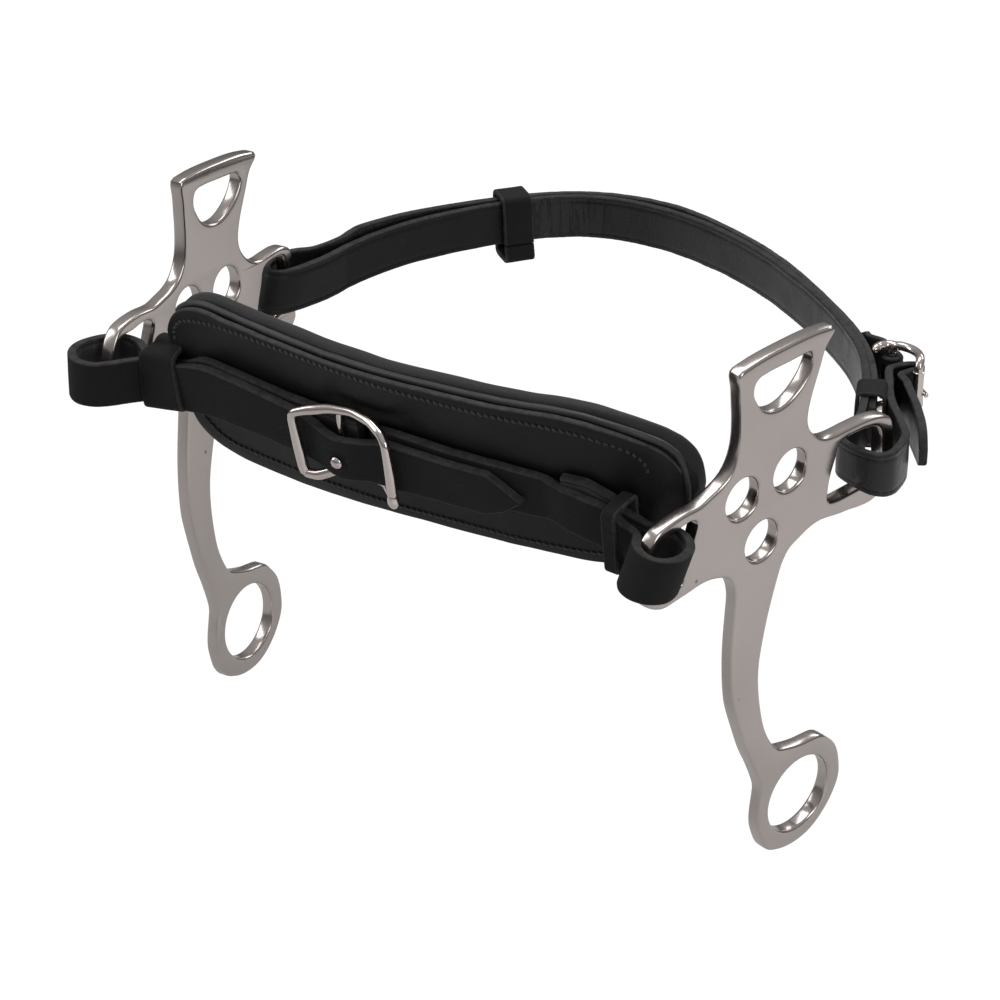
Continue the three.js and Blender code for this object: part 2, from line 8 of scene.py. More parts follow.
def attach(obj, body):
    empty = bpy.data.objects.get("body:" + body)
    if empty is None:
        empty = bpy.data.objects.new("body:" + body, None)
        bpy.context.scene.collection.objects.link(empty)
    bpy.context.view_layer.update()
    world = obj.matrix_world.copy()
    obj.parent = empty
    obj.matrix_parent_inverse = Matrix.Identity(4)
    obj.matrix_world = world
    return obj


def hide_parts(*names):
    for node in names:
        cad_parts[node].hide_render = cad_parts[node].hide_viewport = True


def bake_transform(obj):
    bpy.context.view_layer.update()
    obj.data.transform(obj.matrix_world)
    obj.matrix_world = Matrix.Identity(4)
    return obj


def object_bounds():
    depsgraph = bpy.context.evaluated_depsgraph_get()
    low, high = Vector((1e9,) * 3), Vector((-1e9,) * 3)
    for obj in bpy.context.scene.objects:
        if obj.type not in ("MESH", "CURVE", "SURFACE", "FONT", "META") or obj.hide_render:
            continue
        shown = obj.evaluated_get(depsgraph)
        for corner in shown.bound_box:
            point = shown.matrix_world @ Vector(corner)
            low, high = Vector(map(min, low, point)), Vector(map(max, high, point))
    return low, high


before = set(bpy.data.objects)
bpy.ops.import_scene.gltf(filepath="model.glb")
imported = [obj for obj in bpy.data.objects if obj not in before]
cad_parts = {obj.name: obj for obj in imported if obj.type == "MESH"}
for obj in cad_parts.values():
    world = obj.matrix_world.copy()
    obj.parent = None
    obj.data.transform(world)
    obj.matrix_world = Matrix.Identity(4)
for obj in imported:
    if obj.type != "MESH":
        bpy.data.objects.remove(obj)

BOX0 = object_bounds()
random.seed(7)

# ---------------------------------------------------------------- frame maths
# shapes are drawn in the same drawing units as the CAD; 1 unit is 1.09 mm
K = 1.09e-3
C0 = np.array([1.2532, 49.9317, -40.4447])


def W(p):
    return (np.asarray(p, float) - C0) * K


LEAN = math.radians(14)
NO = np.array([0, -43.0, -1.0])
NY = np.array([0, math.cos(LEAN), math.sin(LEAN)])
NS = np.array([0, -math.sin(LEAN), math.cos(LEAN)])
CURB_Z = 1.3


def nb(x, y, s):
    """noseband frame (across, back, up) to drawing units"""
    return NO + np.array([x, 0, 0]) + y * NY + s * NS


def cb(x, y, z):
    """curb strap frame to drawing units"""
    return np.array([x, y, z + CURB_Z])


CURB_UP = np.array([0, 0, 1.0])


def catmull(pts, n, closed=False):
    """evenly spaced points on a centripetal-ish spline through pts"""
    P = np.asarray(pts, float)
    m = len(P)
    dense = []
    segs = m if closed else m - 1
    for i in range(segs):
        p1, p2 = P[i], P[(i + 1) % m]
        p0 = P[(i - 1) % m] if closed or i > 0 else 2 * p1 - p2
        p3 = P[(i + 2) % m] if closed or i + 2 < m else 2 * p2 - p1
        d1 = max(np.linalg.norm(p1 - p0), 1e-6) ** 0.5
        d2 = max(np.linalg.norm(p2 - p1), 1e-6) ** 0.5
        d3 = max(np.linalg.norm(p3 - p2), 1e-6) ** 0.5
        m1 = (p1 - p0) / d1 - (p2 - p0) / (d1 + d2) + (p2 - p1) / d2
        m2 = (p2 - p1) / d2 - (p3 - p1) / (d2 + d3) + (p3 - p2) / d3
        m1, m2 = m1 * d2, m2 * d2
        for k in range(16):
            t = k / 16
            dense.append((2 * t**3 - 3 * t**2 + 1) * p1 + (t**3 - 2 * t**2 + t) * m1 + (-2 * t**3 + 3 * t**2) * p2 + (t**3 - t**2) * m2)
    dense.append(P[0] if closed else P[-1])
    D = np.array(dense)
    L = np.concatenate([[0], np.cumsum(np.linalg.norm(np.diff(D, axis=0), axis=1))])
    u = np.linspace(0, L[-1], n + 1)
    out = np.stack([np.interp(u, L, D[:, k]) for k in range(D.shape[1])], 1)
    return out[:-1] if closed else out


def tangents(P, closed=False):
    if closed:
        T = np.roll(P, -1, 0) - np.roll(P, 1, 0)
    else:
        T = np.gradient(P, axis=0)
    return T / np.maximum(np.linalg.norm(T, axis=1, keepdims=True), 1e-9)


def unit(v):
    return v / np.maximum(np.linalg.norm(v, axis=-1, keepdims=True), 1e-9)


def offset2(pts, d):
    P = np.asarray(pts, float)
    T = tangents(P)
    return P + d * np.stack([-T[:, 1], T[:, 0]], 1)


# ------------------------------------------------------------------- meshes
def new_mesh(name, verts, faces, mats, mat_index=None, angle=38):
    me = bpy.data.meshes.new(name)
    me.from_pydata([tuple(v) for v in W(verts)], [], faces)
    me.validate()
    me.update()
    ob = bpy.data.objects.new(name, me)
    bpy.context.scene.collection.objects.link(ob)
    for m in mats:
        me.materials.append(m)
    if mat_index is not None and len(mat_index) == len(me.polygons):
        me.polygons.foreach_set("material_index", mat_index)
    me.shade_smooth()
    me.set_sharp_from_angle(angle=math.radians(angle))
    import bmesh

    bm = bmesh.new()
    bm.from_mesh(me)
    bmesh.ops.recalc_face_normals(bm, faces=bm.faces)
    bm.to_mesh(me)
    bm.free()
    return ob


def wob(P, amp, size, seed=0.0):
    """slow hand-made unevenness"""
    if amp <= 0:
        return P
    out = P.copy()
    for i, p in enumerate(P):
        v = noise.noise_vector(Vector(p) / size + Vector((seed, seed * 2.3, 1.7)))
        out[i] = p + amp * np.array(v)
    return out


def band(name, C, U, lo, hi, T, mats, closed=False, groove=0.0, groove_at=2.0, face=1, waves=0.12, fibre=0.0, dome=0.0, seed=1.0, rows=9):
    """A leather strap: mid-line C, width direction U, from lo to hi across, T thick, with rounded edges.
    groove cuts a line near both edges on the face side; mats are (grain face, cut edge, flesh side)."""
    N = len(C)
    U = unit(np.broadcast_to(U, C.shape).astype(float))
    Tn = tangents(C, closed)
    Nn = unit(np.cross(Tn, U)) * face
    lo = np.broadcast_to(np.asarray(lo, float), (N,))
    hi = np.broadcast_to(np.asarray(hi, float), (N,))
    T = np.broadcast_to(np.asarray(T, float), (N,))
    verts, kinds = [], None
    for i in range(N):
        h = hi[i] - lo[i]
        t = T[i] / 2
        r = min(0.55, t * 0.6, h * 0.3)
        ga = min(groove_at, h * 0.3)
        sec = []
        core = np.linspace(lo[i] + ga + 0.35, hi[i] - ga - 0.35, rows)
        for q in core[[0, -1]]:
            pass
        mid, half = (lo[i] + hi[i]) / 2, max(h / 2, 1e-3)

        def dm(s):
            return dome * max(0.0, 1 - ((s - mid) / half) ** 2)

        f = [(t, lo[i] + r), (t, lo[i] + ga - 0.35), (t - groove, lo[i] + ga)] + [(t, s) for s in core] + [(t - groove, hi[i] - ga), (t, hi[i] - ga + 0.35), (t, hi[i] - r)]
        sec += [(a + dm(s), s, 0) for a, s in f]
        sec += [(t - 0.3 * r, hi[i] - 0.3 * r, 1), (t - r, hi[i], 1), (0, hi[i] - 0.08, 1), (-t + r, hi[i], 1), (-t + 0.3 * r, hi[i] - 0.3 * r, 1)]
        back = np.linspace(hi[i] - r, lo[i] + r, rows + 2)
        sec += [(-t + dm(s), s, 2) for s in back]
        sec += [(-t + 0.3 * r, lo[i] + 0.3 * r, 1), (-t + r, lo[i], 1), (0, lo[i] + 0.08, 1), (t - r, lo[i], 1), (t - 0.3 * r, lo[i] + 0.3 * r, 1)]
        if kinds is None:
            kinds = [k for _, _, k in sec]
        for a, s, k in sec:
            extra = 0.0
            if fibre and k == 1:
                extra = fibre * (random.random() - 0.4)
            sgn = 1 if s > mid else -1
            verts.append(C[i] + Nn[i] * a + U[i] * (s + sgn * extra))
    M = len(kinds)
    verts = wob(np.array(verts), waves, 9.0, seed)
    faces, mi = [], []
    for i in range(N if closed else N - 1):
        j = (i + 1) % N
        for k in range(M):
            l = (k + 1) % M
            faces.append((i * M + k, i * M + l, j * M + l, j * M + k))
            mi.append(min({kinds[k], kinds[l]} if kinds[k] != kinds[l] else {kinds[k]}) if kinds[k] != 1 and kinds[l] != 1 else 1)
    if not closed:
        faces.append(tuple(range(M)))
        faces.append(tuple((N - 1) * M + k for k in reversed(range(M))))
        mi += [1, 1]
    mi = [min(m, len(mats) - 1) for m in mi]
    return new_mesh(name, verts, faces, mats, mi)


def tube(name, P, r, mats, closed=False, seg=14, flat=1.0, waves=0.0):
    """round wire along P; r may vary; flat squeezes it along its second direction"""
    P = np.asarray(P, float)
    N = len(P)
    r = np.broadcast_to(np.asarray(r, float), (N,))
    T = tangents(P, closed)
    a = np.cross(T[0], [0.13, 0.21, 0.97])
    a /= np.linalg.norm(a)
    verts = []
    for i in range(N):
        a = a - T[i] * np.dot(a, T[i])
        a /= np.linalg.norm(a)
        b = np.cross(T[i], a)
        for k in range(seg):
            t = 2 * math.pi * k / seg
            verts.append(P[i] + r[i] * (math.cos(t) * a + math.sin(t) * b * flat))
    verts = wob(np.array(verts), waves, 6.0)
    faces = []
    for i in range(N if closed else N - 1):
        j = (i + 1) % N
        for k in range(seg):
            l = (k + 1) % seg
            faces.append((i * seg + k, i * seg + l, j * seg + l, j * seg + k))
    if not closed:
        n0 = len(verts)
        verts = np.vstack([verts, P[0] - T[0] * r[0] * 0.5, P[-1] + T[-1] * r[-1] * 0.5])
        for k in range(seg):
            l = (k + 1) % seg
            faces.append((n0, l, k))
            faces.append((n0 + 1, (N - 1) * seg + k, (N - 1) * seg + l))
    return new_mesh(name, verts, faces, mats, None, 50)


def stitches(name, P, Nrm, length, gap, r, mats, lift=0.1, twist=0.18):
    """a row of separate thread stitches lying on a surface along P with surface normals Nrm"""
    L = np.concatenate([[0], np.cumsum(np.linalg.norm(np.diff(P, axis=0), axis=1))])
    verts, faces = [], []
    s = 0.0
    while s + length < L[-1]:
        a = np.array([np.interp(s, L, P[:, k]) for k in range(3)])
        b = np.array([np.interp(s + length, L, P[:, k]) for k in range(3)])
        n = unit(np.array([np.interp(s, L, Nrm[:, k]) for k in range(3)]))
        t = unit(b - a)
        side = np.cross(n, t)
        jit = random.uniform(-0.05, 0.05)
        a = a + side * (twist + jit)
        b = b - side * (twist - jit)
        t = unit(b - a)
        side = np.cross(n, t)
        base = len(verts)
        rings = 6
        for i in range(rings + 1):
            u = i / rings
            c = a + (b - a) * u
            rr = r * (0.35 + 0.65 * math.sin(math.pi * min(max(u, 0.06), 0.94)) ** 0.5)
            up = lift * r * 4 * u * (1 - u) - r * 0.45 * (1 - math.sin(math.pi * u))
            for k in range(8):
                th = 2 * math.pi * k / 8
                verts.append(c + n * (up + rr * math.sin(th)) + side * rr * math.cos(th))
        for i in range(rings):
            for k in range(8):
                l = (k + 1) % 8
                faces.append((base + i * 8 + k, base + i * 8 + l, base + (i + 1) * 8 + l, base + (i + 1) * 8 + k))
        faces.append(tuple(base + k for k in range(8)))
        faces.append(tuple(base + rings * 8 + k for k in reversed(range(8))))
        s += length + gap + random.uniform(-0.08, 0.08)
    return new_mesh(name, np.array(verts), faces, mats, None, 60)


# ---------------------------------------------------------------- materials
def mat(name):
    m = bpy.data.materials.new(name)
    m.use_nodes = True
    nt = m.node_tree
    nt.nodes.clear()
    out = nt.nodes.new("ShaderNodeOutputMaterial")
    bs = nt.nodes.new("ShaderNodeBsdfPrincipled")
    nt.links.new(bs.outputs[0], out.inputs[0])
    return m, nt, bs


def ramp(nt, src, stops):
    r = nt.nodes.new("ShaderNodeValToRGB")
    r.color_ramp.elements[0].position, r.color_ramp.elements[0].color = stops[0][0], stops[0][1]
    r.color_ramp.elements[1].position, r.color_ramp.elements[1].color = stops[-1][0], stops[-1][1]
    for p, c in stops[1:-1]:
        e = r.color_ramp.elements.new(p)
        e.color = c
    nt.links.new(src, r.inputs[0])
    return r.outputs[0]


def tex(nt, kind, scale, vec, **kw):
    n = nt.nodes.new(kind)
    n.inputs["Scale"].default_value = scale
    for k, v in kw.items():
        n.inputs[k].default_value = v
    nt.links.new(vec, n.inputs["Vector"])
    return n


def mix(nt, fac, a, b, mode="MIX"):
    m = nt.nodes.new("ShaderNodeMix")
    m.data_type = "RGBA"
    m.blend_type = mode
    for sock, v in ((m.inputs[0], fac), (m.inputs[6], a), (m.inputs[7], b)):
        if hasattr(v, "is_output"):
            nt.links.new(v, sock)
        else:
            sock.default_value = v
    return m.outputs[2]


def bump(nt, bs, h, strength, dist, chain=None):
    b = nt.nodes.new("ShaderNodeBump")
    b.inputs["Strength"].default_value = strength
    b.inputs["Distance"].default_value = dist
    nt.links.new(h, b.inputs["Height"])
    if chain is not None:
        nt.links.new(chain, b.inputs["Normal"])
    nt.links.new(b.outputs[0], bs.inputs["Normal"])
    return b.outputs[0]


def grey(v, t=(1, 1, 1)):
    return (v * t[0], v * t[1], v * t[2], 1)


def leather(name, base, rough, grain=0.25, spots=0.35, sheen=0.0, coat=0.0, tint=(1, 0.97, 1.03), scale=1.0, crease=0.0):
    m, nt, bs = mat(name)
    co = nt.nodes.new("ShaderNodeTexCoord").outputs["Object"]
    big = tex(nt, "ShaderNodeTexNoise", 38 * scale, co, Detail=5.0, Roughness=0.6).outputs[0]
    fine = tex(nt, "ShaderNodeTexNoise", 900 * scale, co, Detail=4.0, Roughness=0.7).outputs[0]
    vor = tex(nt, "ShaderNodeTexVoronoi", 1500 * scale, co).outputs["Distance"]
    col = ramp(nt, big, [(0.3, grey(base * (1 - spots), tint)), (0.72, grey(base * (1 + spots * 1.6), tint))])
    dust = ramp(nt, tex(nt, "ShaderNodeTexNoise", 260 * scale, co, Detail=6.0).outputs[0], [(0.66, grey(0)), (0.8, grey(1))])
    col = mix(nt, dust, col, grey(base * 3.2, tint))
    nt.links.new(col, bs.inputs["Base Color"])
    rr = ramp(nt, big, [(0.25, grey(max(rough - 0.1, 0.05))), (0.75, grey(min(rough + 0.12, 1)))])
    nt.links.new(rr, bs.inputs["Roughness"])
    bs.inputs["Specular IOR Level"].default_value = 0.3
    if sheen:
        bs.inputs["Sheen Weight"].default_value = sheen
        bs.inputs["Sheen Roughness"].default_value = 0.5
    if coat:
        bs.inputs["Coat Weight"].default_value = coat
        bs.inputs["Coat Roughness"].default_value = 0.32
    c = bump(nt, bs, vor, grain, 0.00012)
    c = bump(nt, bs, fine, grain * 0.8, 0.00015, c)
    c = bump(nt, bs, big, 0.35, 0.0006, c)
    if crease:
        mp = nt.nodes.new("ShaderNodeMapping")
        mp.inputs["Scale"].default_value = (1.0, 1.0, 0.12)
        nt.links.new(co, mp.inputs[0])
        cr = tex(nt, "ShaderNodeTexNoise", 150, mp.outputs[0], Detail=6.0, Roughness=0.65, Distortion=1.2).outputs[0]
        line = ramp(nt, cr, [(0.47, grey(1)), (0.5, grey(0)), (0.53, grey(1))])
        sx = nt.nodes.new("ShaderNodeSeparateXYZ")
        nt.links.new(co, sx.inputs[0])
        mr = nt.nodes.new("ShaderNodeMapRange")
        mr.inputs["From Min"].default_value = -0.088
        mr.inputs["From Max"].default_value = -0.05
        mr.inputs["To Min"].default_value = 0.0
        mr.inputs["To Max"].default_value = 0.88
        nt.links.new(sx.outputs[0], mr.inputs["Value"])
        line = mix(nt, mr.outputs[0], line, grey(1))
        bump(nt, bs, line, crease, 0.0007, c)
    return m


def cut_edge(name, base, rough=0.75):
    m, nt, bs = mat(name)
    co = nt.nodes.new("ShaderNodeTexCoord").outputs["Object"]
    a = tex(nt, "ShaderNodeTexNoise", 320, co, Detail=7.0, Roughness=0.75).outputs[0]
    col = ramp(nt, a, [(0.35, grey(base * 0.55)), (0.7, grey(base * 1.7, (1, 0.98, 0.97)))])
    nt.links.new(col, bs.inputs["Base Color"])
    bs.inputs["Roughness"].default_value = rough
    bs.inputs["Specular IOR Level"].default_value = 0.35
    bump(nt, bs, a, 0.7, 0.0005)
    return m


def thread(name, base):
    m, nt, bs = mat(name)
    co = nt.nodes.new("ShaderNodeTexCoord").outputs["Object"]
    w = tex(nt, "ShaderNodeTexWave", 700, co, Distortion=1.5, Detail=2.0)
    col = ramp(nt, w.outputs["Fac"], [(0.2, grey(base * 0.5)), (0.8, grey(base * 1.4))])
    nt.links.new(col, bs.inputs["Base Color"])
    bs.inputs["Roughness"].default_value = 0.62
    bs.inputs["Sheen Weight"].default_value = 0.3
    bump(nt, bs, w.outputs["Fac"], 0.5, 0.0002)
    return m


def steel(name, base, rough, scratch=0.12, tint=(1.0, 0.9, 0.855), pits=True):
    m, nt, bs = mat(name)
    co = nt.nodes.new("ShaderNodeTexCoord").outputs["Object"]
    big = tex(nt, "ShaderNodeTexNoise", 24, co, Detail=4.0).outputs[0]
    mp = nt.nodes.new("ShaderNodeMapping")
    mp.inputs["Scale"].default_value = (1.0, 0.15, 1.0)
    mp.inputs["Rotation"].default_value = (0.6, 0.2, 0.3)
    nt.links.new(co, mp.inputs[0])
    fine = tex(nt, "ShaderNodeTexNoise", 1400, mp.outputs[0], Detail=5.0, Roughness=0.7).outputs[0]
    col = ramp(nt, big, [(0.3, grey(base * 0.94, tint)), (0.7, grey(base * 1.05, tint))])
    if pits:
        v = tex(nt, "ShaderNodeTexVoronoi", 55, co).outputs["Distance"]
        pit = ramp(nt, v, [(0.02, grey(1)), (0.045, grey(0))])
        col = mix(nt, pit, col, grey(base * 0.35, tint))
    nt.links.new(col, bs.inputs["Base Color"])
    bs.inputs["Metallic"].default_value = 1.0
    rr = ramp(nt, big, [(0.3, grey(rough * 0.75)), (0.75, grey(rough * 1.3))])
    nt.links.new(rr, bs.inputs["Roughness"])
    c = bump(nt, bs, fine, scratch, 0.00008)
    c = bump(nt, bs, big, 0.25, 0.0006, c)
    if pits:
        inv = ramp(nt, v, [(0.02, grey(0)), (0.05, grey(1))])
        bump(nt, bs, inv, 0.5, 0.0003, c)
    return m


M_STRAP = leather("leather_strap", 0.032, 0.44, grain=0.22)
M_CURB = leather("leather_curb", 0.008, 0.50, grain=0.22)
M_CREASE = leather("leather_curb_inside", 0.006, 0.3, grain=0.2, coat=0.5, crease=0.7)
M_FLESH = leather("leather_flesh", 0.010, 0.8, grain=0.5, spots=0.5)
M_COVER = leather("leather_cover", 0.005, 0.42, grain=0.18, spots=0.25)
M_SOFT = leather("leather_lining", 0.015, 0.52, grain=0.45, sheen=0.15, scale=0.8)
# the darkest leather: the pad core's own colour, and painted shade where it colours the stitch grooves and the ring
# round the stud
M_CORE_AND_SHADE = leather("pad_core_edge_and_painted_shade", 0.004, 0.7, grain=0.5)
# cut edges: their own lighter tone, raised further as a painted highlight for the light line the rounded edges catch;
# the second is lighter still
M_EDGE = cut_edge("leather_edge", 0.034)
M_EDGE_LIGHT = cut_edge("leather_edge_light", 0.045, 0.7)
M_THREAD = thread("thread_dark", 0.02)
M_THREAD_LOW = thread("thread_black", 0.008)
M_PLATE = steel("steel_plate", 0.6, 0.2)
M_WIRE = steel("steel_wire", 0.78, 0.13, pits=False)
for n_ in M_STRAP.node_tree.nodes:
    if n_.bl_idname == "ShaderNodeBsdfPrincipled":
        n_.inputs["Specular IOR Level"].default_value = 0.5

# ------------------------------------------------------------- cheek plates
OUTLINE = [(-37, 162), (-32, 163.5), (-26, 164.2), (-20, 164.5), (-9, 164.7), (-3, 164.3), (1.6, 163.4), (1.8, 162.2), (-1.5, 158), (-3.3, 152.5), (-5, 147.5), (-6.6, 142), (-7.2, 137), (-6.3, 133.3), (-3.5, 129.7), (0, 127.3), (4, 126.5), (12, 126.5), (20, 126.2), (26, 124.8), (29.5, 122.5), (31.5, 113), (31, 100.6), (27.5, 98), (23, 96.3), (18, 96.4), (13.7, 97.1), (9.3, 97.5), (4.5, 98.3), (0.6, 98.7), (-3.6, 98), (-7.7, 96.3), (-11.7, 94.2), (-14.3, 90.1), (-15.8, 85.6), (-17.3, 80.3), (-19.1, 72.9), (-20.8, 63), (-21.3, 57.8), (-21.2, 52.4), (-20.2, 44.8), (-18.2, 36), (-16.8, 31.8), (-15, 28), (-13.2, 25), (-10.8, 22), (-6, 20.3), (0, 19), (4, 18.7), (8.6, 18), (12.5, 14.9), (15.6, 11.5), (17.2, 8), (18.2, 3.7), (18.6, -0.3), (18.1, -3.5), (17, -6.2), (15.3, -9.2), (13.5, -11.6), (9.8, -15.2), (5.3, -17.7), (0, -18.8), (-5, -18.6), (-8, -17.8), (-11.3, -16.5), (-14, -13.8), (-16.2, -9), (-17.5, -4.5), (-17.6, 0), (-17.1, 5), (-16.9, 9), (-18, 12.5), (-21, 19.5), (-24.4, 26.4), (-27.7, 35), (-31.5, 46), (-32.5, 51), (-33.3, 58), (-33.7, 65), (-33.7, 72), (-33.4, 80), (-33.3, 86), (-34.5, 91), (-37, 94.8), (-40, 96.3), (-45, 97.6), (-49, 97.6), (-53, 97), (-57, 96.5), (-63, 95.9), (-65.7, 96.7), (-68.2, 98.1), (-71, 100.6), (-72, 106), (-71.7, 113), (-70.3, 118), (-67.5, 121.8), (-64, 123.3), (-57, 124.6), (-50, 124.9), (-46, 126.3), (-42, 127.9), (-39, 130), (-37, 132.8), (-35.8, 136), (-35.2, 140), (-35.3, 146), (-35.8, 151), (-36.3, 156)]
HEAD = [(-30.2, 153), (-30.2, 156), (-29, 157.7), (-25, 158.5), (-17, 158.8), (-11, 159), (-8, 158.8), (-6.8, 157), (-7.2, 154.5), (-8.9, 151.3), (-11, 149), (-13.8, 146.8), (-17, 145.3), (-20.5, 144.9), (-24, 145.7), (-26.8, 147.5), (-29, 150.5)]
NOSE = [(-66, 118.5), (-60.5, 119.8), (-56, 121), (-52.5, 121), (-50.8, 119.5), (-51.5, 116), (-53, 111), (-55, 104.5), (-56.6, 101.3), (-60, 101.3), (-64, 102.5), (-66.5, 105.5), (-67, 112)]
REAR = [(7.5, 122.5), (6, 118), (4.4, 113), (3.7, 107), (4, 104.3), (7.5, 103.3), (13, 103.3), (20, 103.8), (25.5, 106), (26, 113), (25, 120), (22, 122.5)]


def ring2(cx, cy, r, n=64):
    return np.array([(cx + r * math.cos(2 * math.pi * i / n), cy + r * math.sin(2 * math.pi * i / n)) for i in range(n)])


def area2(P):
    return 0.5 * np.sum(P[:, 0] * np.roll(P[:, 1], -1) - np.roll(P[:, 0], -1) * P[:, 1])


def plate(name, ring, rear, up, body, node, bev=1.15, tuck=(1.0, 0.0)):
    cu = bpy.data.curves.new(name + "_c", "CURVE")
    cu.dimensions = "2D"
    cu.fill_mode = "BOTH"
    th = 5.0
    cu.extrude = (th / 2 - bev)
    cu.bevel_depth = bev
    cu.bevel_resolution = 4
    cu.offset = -bev
    loops = [(catmull(OUTLINE, 330, True), 1)] + [(P, -1) for P in (ring2(0, 0, 13), ring2(-32.8, 120.2, 6.7, 44), ring2(-13.3, 121.9, 6.8, 44), ring2(-23.7, 102.3, 6.7, 44))]
    loops += [(catmull(P, 60, True), -1) for P in (HEAD, NOSE, REAR)]
    for P, sgn in loops:
        if area2(P) * sgn < 0:
            P = P[::-1]
        sp = cu.splines.new("POLY")
        sp.points.add(len(P) - 1)
        for i, p in enumerate(P):
            sp.points[i].co = (p[0], p[1], 0, 1)
        sp.use_cyclic_u = True
    tmp = bpy.data.objects.new(name + "_t", cu)
    bpy.context.scene.collection.objects.link(tmp)
    bpy.context.view_layer.update()
    dg = bpy.context.evaluated_depsgraph_get()
    me0 = bpy.data.meshes.new_from_object(tmp.evaluated_get(dg))
    V = np.array([v.co[:] for v in me0.vertices])
    F = [tuple(p.vertices) for p in me0.polygons]
    bpy.data.objects.remove(tmp)
    past = np.maximum(V[:, 0] - 4.0, 0) * np.clip((V[:, 1] - 90) / 14, 0, 1)
    V[:, 0] -= past * (1 - tuck[0])
    V[:, 1] += past * tuck[1]
    u = unit(np.array(rear, float))
    n = unit(np.cross(u, up))
    w = np.cross(n, u)
    verts = np.array(ring) + V[:, :1] * u + V[:, 1:2] * w + (V[:, 2:3] - th / 2) * n
    ob = new_mesh(name, verts, F, [M_PLATE], None, 30)
    import bmesh

    bm = bmesh.new()
    bm.from_mesh(ob.data)
    bmesh.ops.remove_doubles(bm, verts=bm.verts, dist=2e-6)
    bmesh.ops.recalc_face_normals(bm, faces=bm.faces)
    bm.to_mesh(ob.data)
    bm.free()
    ob.data.shade_smooth()
    ob.data.set_sharp_from_angle(angle=math.radians(40))
    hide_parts(node)
    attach(ob, body)
    return ob


plate("cheek_plate_left_polished", [-106.9, 16.8, -114.9], [-0.084, 0.993, -0.080], [-0.029, 0.078, 0.997], "cheek_left", "cheek_plate_left", tuck=(0.68, 0.12))
plate("cheek_plate_right_polished", [104.3, 34.2, -110.7], [0.159, 0.985, 0.066], [0.069, -0.078, 0.995], "cheek_right", "cheek_plate_right")

# ---------------------------------------------------------------- noseband
PF = np.array([(-94, 4.0), (-85, 3.8), (-70, 3.6), (-50, 3.0), (-20, 2.4), (2, 2.0), (12, 2.2), (30, 3.0), (45, 4.1), (60, 6.2), (70, 7.6), (80, 9.8), (86, 12.8), (90, 16), (94, 20.5), (97, 25)])
_px = np.linspace(-94, 97, 300)
_py = np.interp(_px, PF[:, 0], PF[:, 1])
_k = np.hanning(25)
_py = np.convolve(np.pad(_py, 12, mode="edge"), _k / _k.sum(), "valid")


def pf(x):
    return np.interp(x, _px, _py)


TOP = [(-82.2, 16), (-81.8, 19.5), (-80.6, 23.4), (-77.6, 28.0), (-72.4, 31.6), (-66, 33.3), (-54, 32.7), (-35, 31.6), (-14, 31.0), (7, 31.8), (28, 33.0), (54, 34.1), (68, 34.9), (77, 34.0), (84, 31.5), (89, 28), (92.2, 24.4), (94.6, 20), (96.4, 15), (97.4, 10), (97.6, 7)]
BOT = [(-82.2, 12), (-81.8, 5), (-81.0, -1), (-79.2, -9), (-76.5, -15.4), (-70.5, -19.6), (-62, -21.9), (-43, -22.9), (-21, -22.4), (0, -20.6), (11, -19.6), (22, -19.0), (41, -18), (59, -17.6), (74, -17.2), (82, -15.4), (88, -11.5), (92.5, -6.5), (95.4, -2), (97.2, 2.5), (97.6, 6)]
TOPC = catmull(TOP, 260)
BOTC = catmull(BOT, 260)


def top_of(x):
    return np.interp(x, TOPC[:, 0], TOPC[:, 1])


def bot_of(x):
    return np.interp(x, BOTC[:, 0], BOTC[:, 1])


